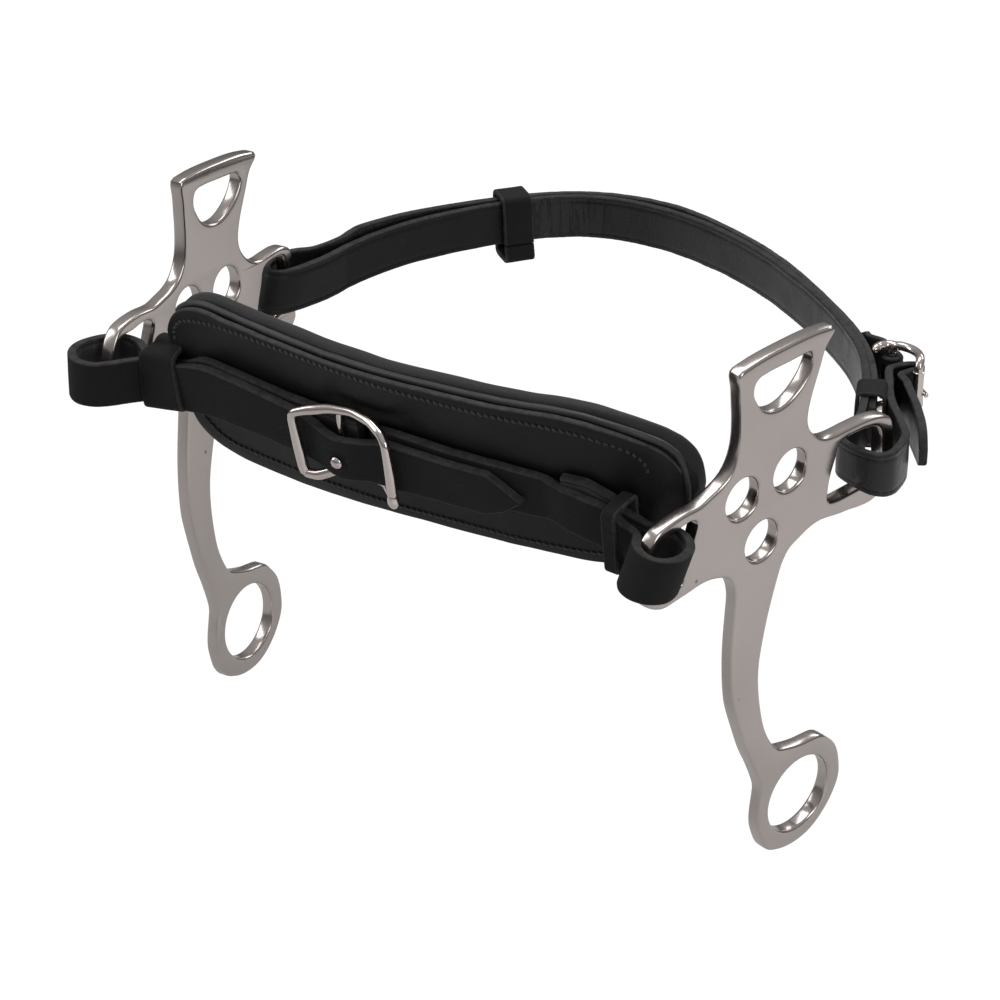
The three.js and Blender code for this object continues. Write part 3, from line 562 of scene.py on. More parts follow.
def cushion(name, y0, y1, inset, r, mats, bulge=0.0, wave=0.25, seed=2.0):
    """one layer of the pad: a long soft slab with rounded edges and ends, between depths y0 and y1 behind the pad's front"""
    a, b = -82.2 + inset, 97.6 - inset
    u = (1 - np.cos(np.linspace(0, math.pi, 34))) / 2
    xs = np.concatenate([a + 9 * u[:17] * 2 * 0.5, np.linspace(a + 5.5, b - 5.5, 150)[1:-1], b - 9 * u[:17][::-1] * 2 * 0.5])
    xs = np.unique(np.round(np.clip(xs, a, b), 3))
    H = (y1 - y0) / 2
    verts, faces = [], []
    for x in xs:
        e = min(x - a, b - x)
        k = math.sqrt(max(0.0, 1 - (1 - min(e / r, 1)) ** 2))
        k = max(k, 0.06)
        lo, hi = bot_of(x) + inset, top_of(x) - inset
        if hi - lo < 0.8:
            m = (hi + lo) / 2
            lo, hi = m - 0.4, m + 0.4
        yc = pf(x) + (y0 + y1) / 2
        h = H * (0.35 + 0.65 * k)
        rr = min(r, h, (hi - lo) / 2)
        sec = []
        for cx, cy, a0 in ((hi - rr, h - rr, 0), (lo + rr, h - rr, 90), (lo + rr, -h + rr, 180), (hi - rr, -h + rr, 270)):
            for q in range(7):
                t = math.radians(a0 + q * 15)
                sec.append((cy + rr * (math.sin(t) if True else 0), cx + rr * math.cos(t)))
        # subdivide the long sides
        full = []
        for i, p in enumerate(sec):
            full.append(p)
            q = sec[(i + 1) % len(sec)]
            if i in (6, 20):
                for t in np.linspace(0, 1, 13)[1:-1]:
                    full.append((p[0] + (q[0] - p[0]) * t, p[1] + (q[1] - p[1]) * t))
        mid, hh = (lo + hi) / 2, max((hi - lo) / 2, 0.1)
        for y, s in full:
            w = max(0, 1 - ((s - mid) / hh) ** 2)
            yy = y + (bulge * w * k if y > 0 else 0)
            verts.append(nb(x, yc + yy, s))
    M = len(full)
    verts = wob(np.array(verts), wave, 11.0, seed)
    for i in range(len(xs) - 1):
        for k in range(M):
            l = (k + 1) % M
            faces.append((i * M + k, i * M + l, (i + 1) * M + l, (i + 1) * M + k))
    faces.append(tuple(range(M)))
    faces.append(tuple((len(xs) - 1) * M + k for k in reversed(range(M))))
    return new_mesh(name, verts, faces, mats, None, 60)


def keep(ob, body, slot, *nodes):
    if nodes:
        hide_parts(*nodes)
    if body:
        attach(ob, body)
    return ob


keep(cushion("pad_lining_soft", 4.9, 10.3, 0.0, 2.5, [M_SOFT], bulge=1.0), "noseband", "soft_leather", "pad_lining")
keep(cushion("pad_core_soft", 1.4, 6.6, 2.3, 1.8, [M_CORE_AND_SHADE], seed=5.0), "noseband", "padding", "pad_core")
edge_in = 1.35
rim = [nb(x, pf(x) + 3.55, s - edge_in) for x, s in TOPC[4:-12:3] if x < 95.5] + [nb(95.9, pf(95.9) + 3.55, 7)] + [nb(x, pf(x) + 3.55, s + edge_in) for x, s in BOTC[::-1][12:-4:3] if x < 95.5]
rim = [p + np.array([edge_in, 0, 0]) * (1 if p[0] < -79 else 0) for p in rim]
keep(tube("pad_edge_welt", catmull(rim, 420, True), 1.15, [M_STRAP], closed=True, seg=14, waves=0.12), "noseband", "leather")

# cover: leather face of the pad, its edge set in from the pad's own
xs = np.concatenate([np.linspace(-81.2, -70, 22), np.linspace(-69, 84, 150), np.linspace(84.6, 96.4, 26)])
lo = np.array([bot_of(x) + 0.6 for x in xs])
hi = np.array([top_of(x) - 1.2 for x in xs])
short = hi - lo < 3
mid = (hi + lo) / 2
lo[short], hi[short] = mid[short] - 1.5, mid[short] + 1.5
C = np.array([nb(x, pf(x) + 1.0, 0) for x in xs])
cover = band("pad_cover_face", C, NS, lo, hi, 1.9, [M_COVER, M_EDGE_LIGHT, M_FLESH], groove=0.0, groove_at=4.0, waves=0.12, face=1, rows=14)
keep(cover, "noseband", "leather", "pad_cover")

NF = -NY


def on_cover(pts, n, lift=0.0):
    Q = catmull(pts, n)
    return np.array([nb(x, pf(x) - lift, s) for x, s in Q]), np.tile(NF, (len(Q), 1))


UP_ROW = [(-78.6, 17.5), (-77.9, 21.3), (-75.8, 24.3), (-72.0, 26.4), (-62, 28.4), (-50.4, 28.9), (-29, 28.5), (-8, 28.0), (12, 28.2), (32, 28.7), (50, 29.2), (66, 29.5), (75, 29.0), (81.8, 27.2), (86.5, 24.4), (89.4, 20.5), (90.6, 15)]
LOW_ROW = [(-76.0, -4.5), (-73.6, -9.5), (-68.2, -14.2), (-62, -16.2), (-55, -16.8), (-44, -17.2), (-24, -17.4), (-2.6, -16.4), (15, -15.2), (34, -14.2), (52, -14.0), (69, -13.2), (78, -12.4), (84, -10)]
P, Nn = on_cover(UP_ROW, 200, 0.05)
# a dark tube under the upper stitches stands for the shade in the stitch groove: painted shade
keep(tube("pad_stitch_upper_groove_shade", P[::2] + NY * 0.22, 0.4, [M_CORE_AND_SHADE], seg=8), "noseband", "leather")
keep(stitches("pad_stitch_upper_row", P, Nn, 1.75, 0.5, 0.47, [M_THREAD], twist=0.34), "noseband", "thread", "pad_stitch_upper")
P, Nn = on_cover(LOW_ROW, 200, 0.05)
# a dark tube under the lower stitches stands for the shade in the stitch groove: painted shade
keep(tube("pad_stitch_lower_groove_shade", P[::2] + NY * 0.22, 0.45, [M_CORE_AND_SHADE], seg=8), "noseband", "leather")
keep(stitches("pad_stitch_lower_row", P, Nn, 1.75, 0.5, 0.5, [M_THREAD_LOW], twist=0.3), "noseband", "thread", "pad_stitch_lower")

# ---- left strap: tail, over the buckle, loop round the left plate, return leg
S_TOP = [(-91.4, 9.2), (-87, 11), (-80, 13.6), (-71, 15.2), (-59, 15.6), (-48, 15.0), (-38, 13.8), (-27, 12.8), (-18, 11.2), (-8.5, 9.8), (1, 10.6), (9, 12.4), (15, 12.5), (30, 12.3), (46, 12.4)]
S_BOT = [(-91.4, -5.6), (-80, -4), (-71, -2.8), (-62, -2.6), (-52.8, -2.4), (-42, -2.7), (-29, -3.2), (-18, -3.8), (-8.5, -4.9), (1, -3.6), (12, -3.8), (27, -2.9), (43, -2.6)]
tail_top = S_TOP[:-1] + [(45.5, 12.3), (50.5, 9.0), (55.9, 4.9)]
tail_bot = S_BOT[:-1] + [(43.1, -2.7), (49.6, -0.2), (53.5, 2.6), (55.9, 4.3)]
FRONT_Y = [(-94, -4.6), (-85, -4.8), (-30, -4.8), (-25, -4.8), (-18, -5.6), (-12.5, -6.9), (-8.5, -7.3), (-4.5, -6.9), (1, -5.7), (8, -4.9), (20, -4.9), (60, -4.9)]


def tab(t, x):
    t = np.array(t)
    return np.interp(x, t[:, 0], t[:, 1])


def pfront(x):
    return pf(x) + tab(FRONT_Y, x)


strap = []  # (centre point, up, half height)
ZUP = np.array([0, 0, 1.0])


def stand(x, x0=-60.0, x1=-86.0):
    """how far the strap has turned upright on its way to the left plate"""
    t = min(max((x - x0) / (x1 - x0), 0.0), 1.0)
    return t * t * (3 - 2 * t)


for x in np.linspace(55.9, -87.5, 150):
    a, b = tab(tail_bot, x), tab(tail_top, x)
    k = stand(x)
    c = nb(x, pfront(x), (a + b) / 2) * (1 - k) + np.array([x, -44.5, 1.5]) * k
    strap.append((c, NS * (1 - k) + ZUP * k, (b - a) / 2 * (1 - k) + 7.1 * k))
loopL = [(-91.8, -45.9), (-94.4, -49.8), (-96.8, -54), (-100, -57.8), (-104.5, -59.1), (-109, -57.6), (-112.8, -54), (-114.6, -49.3), (-114.2, -44.5), (-112.2, -39.8), (-108.3, -36.4), (-102.5, -36), (-96.8, -38.6), (-92.2, -41.6)]
keys = [strap[-1][0]] + [np.array([x, y, 0.6]) for x, y in loopL] + [np.array([-87.0, -40.9, 1.6])]
ups = [ZUP] * (len(loopL) + 2)
hts = [strap[-1][2]] + [7.2] * len(loopL) + [7.2]
L = catmull(keys, 120)
kd = np.concatenate([[0], np.cumsum(np.linalg.norm(np.diff(np.array(keys), axis=0), axis=1))])
ld = np.concatenate([[0], np.cumsum(np.linalg.norm(np.diff(L, axis=0), axis=1))])
ld = ld * kd[-1] / ld[-1]
for i in range(1, len(L)):
    up = np.array([np.interp(ld[i], kd, np.array(ups)[:, k]) for k in range(3)])
    strap.append((L[i], up, float(np.interp(ld[i], kd, hts))))
for x in np.linspace(-83, -3, 60):
    a, b = -3.4, tab([(-86, 11.0), (-78, 13.6), (-69, 16.4), (-54, 15.6), (-32, 14.0), (-3, 14.3)], x)
    k = stand(x)
    c = nb(x, pf(x) - 1.7, (a + b) / 2) * (1 - k) + np.array([x, -40.9, 1.7]) * k
    strap.append((c, NS * (1 - k) + ZUP * k, (b - a) / 2 * (1 - k) + 7.3 * k))
C = np.array([s[0] for s in strap])
U = np.array([s[1] for s in strap])
H = np.array([s[2] for s in strap])
ob = band("nose_strap_left_leather", C, U, -H, H, 2.8, [M_STRAP, M_EDGE, M_FLESH], groove=0.22, groove_at=1.8, face=1, rows=7, seed=3.0)
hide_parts("nose_strap_left", "nose_loop_left")
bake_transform(ob)

# ---- right strap: under the tail, to the right plate, loop and return leg
strap = []
R_TOP = [(2, 14.0), (12, 14.6), (30, 14.2), (48, 14.1), (58, 13.5), (66, 12.7), (74, 11.8), (81.5, 10.1), (86, 7.4)]
R_BOT = [(2, -2.5), (45, -2.0), (52, -1.7), (64, -1.5), (72, -2.6), (80, -4.7), (86, -8)]
for x in np.linspace(2, 84, 90):
    a, b = tab(R_BOT, x), tab(R_TOP, x)
    y = pf(x) - 1.8 if x < 62 else np.interp(x, [62, 70, 76, 84], [pf(62) - 1.8, pf(70) - 4.2, pf(76) - 5.0, 5.4])
    strap.append((nb(x, y, (a + b) / 2), NS, (b - a) / 2))
loopR = [(92.4, -38.0), (92.8, -41.5), (94, -45.5), (97.5, -49.4), (102.5, -51.2), (107.3, -50.3), (110.5, -47), (111.2, -42.5), (109.6, -37.5), (105.5, -33.4), (100.3, -31.4), (95.6, -32.2), (92.4, -34.2)]
view = np.array([0.783, 0.623])


def narrow(x, y):
    """the loop is a little flattened"""
    d = np.array([x - 101.5, y + 41.5])
    d = d - 0.14 * view * float(d @ view)
    return 101.5 + d[0], -41.5 + d[1]


CANT = np.array([0.25, 0.17, 1.0])
ramp_r = [0.3] + [1.0] * (len(loopR) - 3) + [0.5]
keys = [strap[-1][0], nb(89, 5.0, -1.6)] + [np.array([*narrow(x, y), -2.3]) for x, y in loopR[1:]] + [nb(86, 9.2, -1.0)]
ups = [NS, NS] + [ZUP * (1 - k) + CANT * k for k in ramp_r] + [NS]
hts = [strap[-1][2], 7.2] + [7.3] * (len(loopR) - 1) + [8.0]
L = catmull(keys, 110)
kd = np.concatenate([[0], np.cumsum(np.linalg.norm(np.diff(np.array(keys), axis=0), axis=1))])
ld = np.concatenate([[0], np.cumsum(np.linalg.norm(np.diff(L, axis=0), axis=1))])
ld = ld * kd[-1] / ld[-1]
for i in range(1, len(L)):
    up = np.array([np.interp(ld[i], kd, np.array(ups)[:, k]) for k in range(3)])
    strap.append((L[i], up, float(np.interp(ld[i], kd, hts))))
for x in np.linspace(84.5, 68, 16):
    a, b = tab([(66, -1), (76, -2), (86, -7)], x), tab([(66, 15.2), (76, 14.8), (86, 10)], x)
    strap.append((nb(x, np.interp(x, [68, 76, 84.5], [pf(68) - 1.7, pf(76) - 1.9, 8.6]), (a + b) / 2), NS, (b - a) / 2))
C = np.array([s[0] for s in strap])
U = np.array([s[1] for s in strap])
H = np.array([s[2] for s in strap])
ob = band("nose_strap_right_leather", C, U, -H, H, 2.8, [M_STRAP, M_EDGE, M_FLESH], groove=0.22, groove_at=1.8, face=-1, rows=7, seed=4.0)
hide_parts("nose_strap_right", "nose_loop_right")
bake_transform(ob)


def wrap(name, x0, x1, y0, y1, z0, z1, t, body, node, skew=(0, 0), r=1.6, shift=0.0):
    """a keeper: a leather band wrapped round the strap, running round in the (back, up) section"""
    pts = []
    for cx, cz, a0 in ((y1 - r, z1 - r, 0), (y0 + r, z1 - r, 90), (y0 + r, z0 + r, 180), (y1 - r, z0 + r, 270)):
        for q in range(6):
            a = math.radians(a0 + q * 18)
            pts.append((cx + r * math.cos(a), cz + r * math.sin(a)))
    Q = catmull(pts, 110, True)
    C = []
    for y, z in Q:
        C.append(nb((x0 + x1) / 2 + shift * (z - z0) / (z1 - z0), y, z + skew[0]))
    C = np.array(C)
    return band(name, C, np.array([1.0, 0, 0]), -(x1 - x0) / 2, (x1 - x0) / 2, t, [M_STRAP, M_EDGE, M_FLESH], closed=True, waves=0.22, face=-1, rows=7, seed=6.0)


def round_poly(pts, r, n=5):
    """corners of a closed polygon rounded by short arcs"""
    pts = [np.array(p, float) for p in pts]
    out = []
    for i, p in enumerate(pts):
        a, b = pts[i - 1], pts[(i + 1) % len(pts)]
        da, db = min(r, np.linalg.norm(a - p) * 0.45), min(r, np.linalg.norm(b - p) * 0.45)
        u, v = p + unit(a - p) * da, p + unit(b - p) * db
        for k in range(n + 1):
            t = k / n
            out.append((1 - t) ** 2 * u + 2 * t * (1 - t) * p + t * t * v)
    return np.array(out)


# keeper on the left: square in front, its joined end folded up along the top at the back
kl = round_poly([(-89.4, -46.9, -7.0), (-91.0, -46.9, 9.6), (-88.6, -42.8, 12.4), (-87.0, -42.5, 15.0), (-87.0, -39.4, 14.8), (-87.6, -38.4, 10.0), (-88.8, -38.4, -6.4)], 1.5)
kr = round_poly([(-74.0, -46.6, -4.6), (-76.6, -46.9, 11.2), (-76.6, -42.4, 14.0), (-76.6, -41.8, 16.4), (-76.6, -38.6, 16.2), (-75.0, -38.0, 11.0), (-74.0, -38.4, -5.0)], 1.5)
KL, KR = catmull(kl, 120, True), catmull(kr, 120, True)
hw = np.linalg.norm(KR - KL, axis=1) / 2
ob = band("nose_keeper_left_leather", (KL + KR) / 2, KR - KL, -hw, hw, 1.7, [M_STRAP, M_EDGE, M_FLESH], closed=True, waves=0.3, face=1, rows=8, seed=6.0, groove=0.15, groove_at=1.5)
keep(ob, "noseband", "leather", "nose_keeper_left")
rowk = catmull([(-86.0, -43.3, 14.0), (-82.0, -43.0, 14.5), (-77.6, -42.8, 15.2)], 30)
keep(stitches("nose_keeper_left_stitches", rowk + np.array([0, 0.35, -0.5]), np.tile([0, -0.94, 0.34], (len(rowk), 1)), 1.5, 0.9, 0.32, [M_THREAD]), "noseband", "thread")
keep(wrap("nose_keeper_right_leather", 83.2, 87.8, 0.6, 11.4, -10.2, 11.4, 1.5, "noseband", None, shift=2.0), "noseband", "leather", "nose_keeper_right")

# ---- strap buckle on the noseband
by = pf(-6) - 8.3
frame_pts = [(-23.6, by, -7.6), (-23.9, by, 3), (-24.2, by + 0.1, 14.2), (-19, by + 1.7, 15.8), (-12, by + 4.2, 17.0), (-4, by + 5.2, 17.6), (4, by + 4.2, 17.2), (9.5, by + 1.9, 16.2), (12.2, by + 0.1, 14.2), (12.0, by, 4), (11.2, by - 0.1, -6.0), (9.6, by + 1.6, -5.8), (6, by + 3.8, -3.6), (-4, by + 3.9, -3.0), (-12, by + 3.2, -4.6), (-18.5, by + 0.6, -7.3)]
P = np.array([nb(*q) for q in frame_pts])
P = np.vstack([P, P[:1]])
seglen = []
Q = []
for i in range(len(P) - 1):
    corner = i in (0, 2, 8, 10)
    n = 6
    for k in range(n):
        Q.append(P[i] + (P[i + 1] - P[i]) * k / n)
Q = np.array(Q)
for _ in range(2):
    Q = 0.5 * Q + 0.25 * (np.roll(Q, 1, 0) + np.roll(Q, -1, 0))
rad = 1.5 + 0.12 * np.sin(np.arange(len(Q)) * 0.37)
keep(tube("nose_buckle_frame_wire", Q, rad, [M_WIRE], closed=True, seg=18, flat=1.05), "noseband", "steel", "nose_buckle_frame")
bar = catmull([nb(-8.5, by + 5.0, 18.0), nb(-8.5, pf(-8.5) - 4.4, 13.5), nb(-8.5, pf(-8.5) - 4.4, 5), nb(-8.5, pf(-8.5) - 4.4, -1), nb(-8.5, by + 3.9, -3.2)], 40)
keep(tube("nose_buckle_centre_bar", bar, 1.0, [M_WIRE], seg=14), "noseband", "steel")
# foot of the right bar, a short pointed end below the corner
keep(tube("nose_buckle_bar_end", catmull([nb(11.5, by - 0.2, -3.5), nb(11.5, by - 0.4, -6.6), nb(11.6, by - 0.3, -8.4)], 10), [1.3, 1.5, 1.65, 1.75, 1.8, 1.8, 1.75, 1.6, 1.4, 1.1, 0.7], [M_WIRE], seg=14), "noseband", "steel")
# stud head, and a ring of the darkest leather round it that stands for the shade in the strap's hole: painted shade
sy = pfront(-8.5) - 1.4
prof = [(0, 0.0), (2.0, 0.0), (2.15, 0.4), (1.95, 1.0), (1.4, 1.6), (0.7, 1.95), (0, 2.05)]


def spin(name, base, axis, prof, mats, seg=28):
    axis = unit(np.array(axis, float))
    a = unit(np.cross(axis, [0.3, 0.1, 0.95]))
    b = np.cross(axis, a)
    verts, faces = [], []
    for r, h in prof:
        for k in range(seg):
            t = 2 * math.pi * k / seg
            verts.append(base + axis * h + max(r, 0.001) * (math.cos(t) * a + math.sin(t) * b))
    for i in range(len(prof) - 1):
        for k in range(seg):
            l = (k + 1) % seg
            faces.append((i * seg + k, i * seg + l, (i + 1) * seg + l, (i + 1) * seg + k))
    faces.append(tuple(range(seg)))
    faces.append(tuple((len(prof) - 1) * seg + k for k in reversed(range(seg))))
    return new_mesh(name, np.array(verts), faces, mats, None, 45)


keep(spin("nose_buckle_stud_head", nb(-8.5, sy + 0.2, 1.6), -NY, prof, [M_WIRE]), "noseband", "steel", "nose_buckle_stud")
keep(spin("nose_strap_stud_hole_shade", nb(-8.5, sy + 0.35, 1.6), -NY, [(1.9, 0), (3.3, 0.0), (3.2, 0.35), (2.7, 0.5), (2.3, 0.3), (1.9, 0.1)], [M_CORE_AND_SHADE]), "noseband", "leather")

# -------------------------------------------------------------- curb strap
CURB = [(-110.2, 60), (-107.5, 72), (-103, 90), (-96.5, 108), (-87, 127), (-78, 140), (-66, 150.5), (-49, 156.5), (-30, 156.5), (5, 147), (42, 128), (68, 109.5), (80, 98), (88, 88), (96.5, 75), (103.5, 62), (107.2, 52)]
CP = catmull(CURB, 420)


def off(P, d):
    T = tangents(P)
    return P + d * np.stack([-T[:, 1], T[:, 0]], 1)


def table_on(rows, P):
    """values given at points near a path, carried along it by length"""
    L = np.concatenate([[0], np.cumsum(np.linalg.norm(np.diff(P, axis=0), axis=1))])
    ks = [int(np.argmin(np.hypot(P[:, 0] - x, P[:, 1] - y))) for x, y, _ in rows]
    v = np.interp(L, L[ks], [r[2] for r in rows])
    w = np.hanning(31)
    return np.convolve(np.pad(v, 15, mode="edge"), w / w.sum(), "valid")


# lower edge of the inner layer and upper edge of the outer one
IN_LO = table_on([(-110.2, 60, -11.8), (-107.5, 72, -10.2), (-104, 84, -8.8), (-100, 97, -8.2), (-96.5, 107, -7.9), (-79, 138, -7.0), (-62, 152, -7.1), (-42, 157, -7.2), (-16, 152, -6.7), (10, 145, -6.5), (38, 130, -6.6), (80, 98, -7.1), (107, 52, -7.4)], CP)
OUT_HI = table_on([(-110.2, 60, 5.4), (-109, 66, 7.6), (-107, 76, 8.6), (-103, 90, 8.7), (-99.5, 100, 8.5), (-96, 111, 8.2), (-76, 142, 7.9), (-56, 155, 8.1), (-33, 157, 8.6), (-8, 151, 8.3), (14, 143, 7.9), (44, 127, 6.8), (69, 109, 7.0), (90, 86, 6.9), (107, 52, 6.6)], CP)
WIDE = 15.0
OUTER, INNER = off(CP, 1.6), off(CP, -1.6)
HEEL, ALONG, OUTW = np.array([86.6, 102.0]), np.array([0.907, -0.42]), np.array([0.42, 0.907])


def at(t, o):
    return tuple(HEEL + ALONG * t + OUTW * o)


def to3(P2, dz=0.0):
    return np.array([cb(x, y, dz) for x, y in P2])


def smooth(v, n):
    return np.convolve(np.pad(v, n // 2, mode="edge"), np.ones(n) / n, "valid")


k_cut = int(np.argmin(np.hypot(CP[:, 0] + 85, CP[:, 1] - 131)))
k_low = int(np.argmin(np.abs(CP[:60, 1] - 68)))
LOOP = [(-111.9, 66.2), (-115.4, 61.8), (-119.2, 57.2), (-120.6, 51.0), (-120.0, 44.6), (-117.6, 39.8), (-114.0, 38.0), (-110.6, 39.6), (-108.5, 45), (-107.6, 54), (-107.0, 64)]
rows = [(OUTER[k], OUT_HI[k] - WIDE, OUT_HI[k]) for k in range(k_cut + 1, k_low - 1, -3)]
rows += [(np.array(p), -12.0, 3.2) for p in LOOP]
rows += [(INNER[k], IN_LO[k], IN_LO[k] + WIDE) for k in range(k_low, k_cut + 2, 3)]
keys = np.array([r[0] for r in rows])
kd = np.concatenate([[0], np.cumsum(np.linalg.norm(np.diff(keys, axis=0), axis=1))])
LP = catmull(keys, 230)
ld = np.concatenate([[0], np.cumsum(np.linalg.norm(np.diff(LP, axis=0), axis=1))])
ld = ld * kd[-1] / ld[-1]
lo = smooth(np.interp(ld, kd, [r[1] for r in rows]), 19)
hi = smooth(np.interp(ld, kd, [r[2] for r in rows]), 19)
cant = np.exp(-((ld - kd[int(np.argmin(np.hypot(keys[:, 0] + 114, keys[:, 1] - 38)))]) / 17.0) ** 2)[:, None]
ob = band("curb_strap_left_leather", to3(LP), CURB_UP + cant * np.array([0.05, 0.30, 0.0]), lo, hi, 2.7, [M_CURB, M_EDGE, M_CREASE], groove=0.2, groove_at=1.7, face=1, rows=9, seed=8.0, fibre=0.05)
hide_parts("curb_loop_left")
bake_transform(ob)

# outer layer from the sliding keeper to its end just past the buckle
k_end = int(np.argmax((CP[:, 0] > 101.0)))
sel = slice(k_cut - 2, k_end, 2)
n = len(range(k_cut - 2, k_end, 2))
close = np.clip((np.arange(n) - n * 0.55) / (n * 0.3), 0, 1)
OU = off(CP, 1.6)[sel] - 0.5 * close[:, None] * (off(CP, 1.6)[sel] - CP[sel])
ohi = OUT_HI[sel].copy()
olo = ohi - WIDE
tt = np.arange(n)[::-1] * float(np.linalg.norm(CP[1] - CP[0])) * 2
rnd = np.clip(1 - (1 - np.clip(tt / 3.0, 0, 1)) ** 2, 0.1, 1) ** 0.5
mid_, hf = (ohi + olo) / 2, (ohi - olo) / 2
hf = hf * (0.72 + 0.28 * rnd)
ob = band("curb_strap_outer_leather", to3(OU), CURB_UP, mid_ - hf, mid_ + hf, 2.3, [M_CURB, M_EDGE_LIGHT, M_CURB], groove=0.2, groove_at=1.7, face=-1, rows=9, seed=9.0, fibre=0.12)
keep(ob, "curb", "leather", "curb_strap_outer")

# inner layer, round the right plate, up through the buckle and out as the tail
END = [(105.3, 46), (107.6, 42.6), (111.8, 40.6), (117, 39.6), (121.6, 40.2), (123.6, 43.6), (122.9, 50.0), (120.4, 56.9), (113.7, 64.7), (102.3, 76.8), (95.1, 87.2), (91.5, 92.6), at(6.1, -4), at(6.0, 0), at(6.8, 3.4), at(8.8, 4.7), at(10.6, 2.8), at(11, -1), at(12.2, -4.4), (99.4, 90), (103.2, 86.0), (109.6, 79.0), (117.2, 70.4), (123.2, 63.0)]
ks = list(range(k_cut - 2, len(CP) - 1, 3))
# trimmed a little along the foot where it passes through the plate's slot
SLOT_LO = [-6.0, -5.5, -5.4, -5.8, -7.2]
rows = [(INNER[k], IN_LO[k] + 1.2 * float(np.clip((60 - INNER[k][1]) / 8, 0, 1)), IN_LO[k] + WIDE) for k in ks]
rows += [(np.array(p), SLOT_LO[i] if i < len(SLOT_LO) else -7.5, 6.7) for i, p in enumerate(END)]
keys = np.array([r[0] for r in rows])
kd = np.concatenate([[0], np.cumsum(np.linalg.norm(np.diff(keys, axis=0), axis=1))])
IP = catmull(keys, 460)
sl = np.concatenate([[0], np.cumsum(np.linalg.norm(np.diff(IP, axis=0), axis=1))])
ld = sl * kd[-1] / sl[-1]
lo = smooth(np.interp(ld, kd, [r[1] for r in rows]), 15)
hi = smooth(np.interp(ld, kd, [r[2] for r in rows]), 15)
tail_d = sl[-1] - sl
tip = np.sqrt(np.clip(1 - (1 - np.clip(tail_d / 11, 0, 1)) ** 2 * 0.92, 0.03, 1))
hi = -2.0 + (hi + 2.0) * tip
lo = -2.0 + (lo + 2.0) * (0.35 + 0.65 * tip)
ob = band("curb_strap_inner_leather", to3(IP), CURB_UP, lo, hi, 2.6, [M_CREASE, M_EDGE, M_CURB], groove=0.12, groove_at=1.7, face=1, rows=9, seed=10.0, fibre=0.1, waves=0.18)
keep(ob, "curb", "leather", "curb_strap_inner")


def keeper(name, k, inner, length, depth, height, t, body, node, gap=0.0, seed=11.0, dz=0.0, lean=0.0):
    c2 = CP[k]
    T = tangents(CP)[k]
    n2 = np.array([-T[1], T[0]])
    c2 = c2 + n2 * inner
    ax = cb(T[0], T[1], 0) - cb(0, 0, 0)
    nx = cb(n2[0], n2[1], 0) - cb(0, 0, 0)
    c = cb(c2[0], c2[1], dz)
    d, h, r = depth / 2 + t / 2, height / 2 + t / 2, 1.5
    loop = [(-d, -h * 0.5)]
    for cx, cz, a0 in ((-d + r, -h + r, 180), (d - r, -h + r, 270), (d - r, h - r, 0), (-d + r, h - r, 90)):
        for q in range(6):
            a = math.radians(a0 + q * 18)
            loop.append((cx + r * math.cos(a), cz + r * math.sin(a)))
    if gap:
        loop.append((-d - 0.15, -h * 0.5 + gap))
        Q = catmull(loop, 110)
    else:
        Q = catmull(loop, 110, True)
    C = np.array([c + nx * a + CURB_UP * b + ax * lean * b for a, b in Q])
    return keep(band(name, C, ax, -length / 2, length / 2, t, [M_CURB, M_EDGE, M_FLESH], closed=not gap, waves=0.3, face=-1, rows=7, seed=seed, groove=0.12, groove_at=1.3, fibre=0.06), body, "leather", node)


keeper("curb_keeper_sliding_leather", k_cut, 0, 10.5, 8.2, 20.4, 1.9, "curb_keeper", "curb_keeper_sliding", gap=0.7, dz=-2.0, lean=-0.06)
k_fix = int(np.argmin(np.hypot(CP[:, 0] - 96.5, CP[:, 1] - 75)))
keeper("curb_keeper_fixed_leather", k_fix, 0.1, 11.0, 7.0, 15.8, 1.2, "curb", "curb_keeper_fixed", seed=12.0)

# chape: short fold of leather that holds the buckle, sewn to the outer layer
k0, k1 = int(np.argmax(CP[:, 0] > 65)), int(np.argmax(CP[:, 0] > 72))
ch2 = list(off(CP, 3.9)[k0:k1:4]) + [np.array(p) for p in ((77.6, 110.6), (82.2, 107.8), at(-0.4, 2.6), at(1.7, 1.9), at(2.5, 0), at(1.7, -1.9), at(-0.6, -2.6))]
CH = catmull(ch2, 80)
chh = np.interp(np.linspace(0, 1, len(CH)), [0, 0.12, 1], [5.2, 7.2, 7.2])
ob = band("curb_chape_leather", to3(CH), CURB_UP, -chh, chh, 2.0, [M_CURB, M_EDGE, M_FLESH], groove=0.15, groove_at=1.5, face=-1, rows=7, seed=13.0)
keep(ob, "curb", "leather", "curb_chape")
# the row of stitches at the end of the outer layer
Ti = tangents(CP)
rowp, rown = [], []
for z in np.linspace(-6.0, 6.0, 24):
    k = int(np.argmax(CP[:, 0] > 84))
    n2 = np.array([-Ti[k][1], Ti[k][0]])
    p = CP[k] + n2 * (0.8 + 1.2)
    rowp.append(cb(p[0], p[1], z))
    rown.append(np.array([n2[0], n2[1], 0]))
keep(stitches("curb_chape_stitches", np.array(rowp), np.array(rown), 1.5, 0.7, 0.36, [M_THREAD]), "curb", "thread")


# buckle frame with rails that bow outward, and a roller on the far bar
def heel3(t, o, z):
    p = at(t, o)
    return cb(p[0], p[1], z)


def bow(t):
    return 3.4 * math.sin(math.pi * min(max(t, 0), 15) / 15) ** 0.8


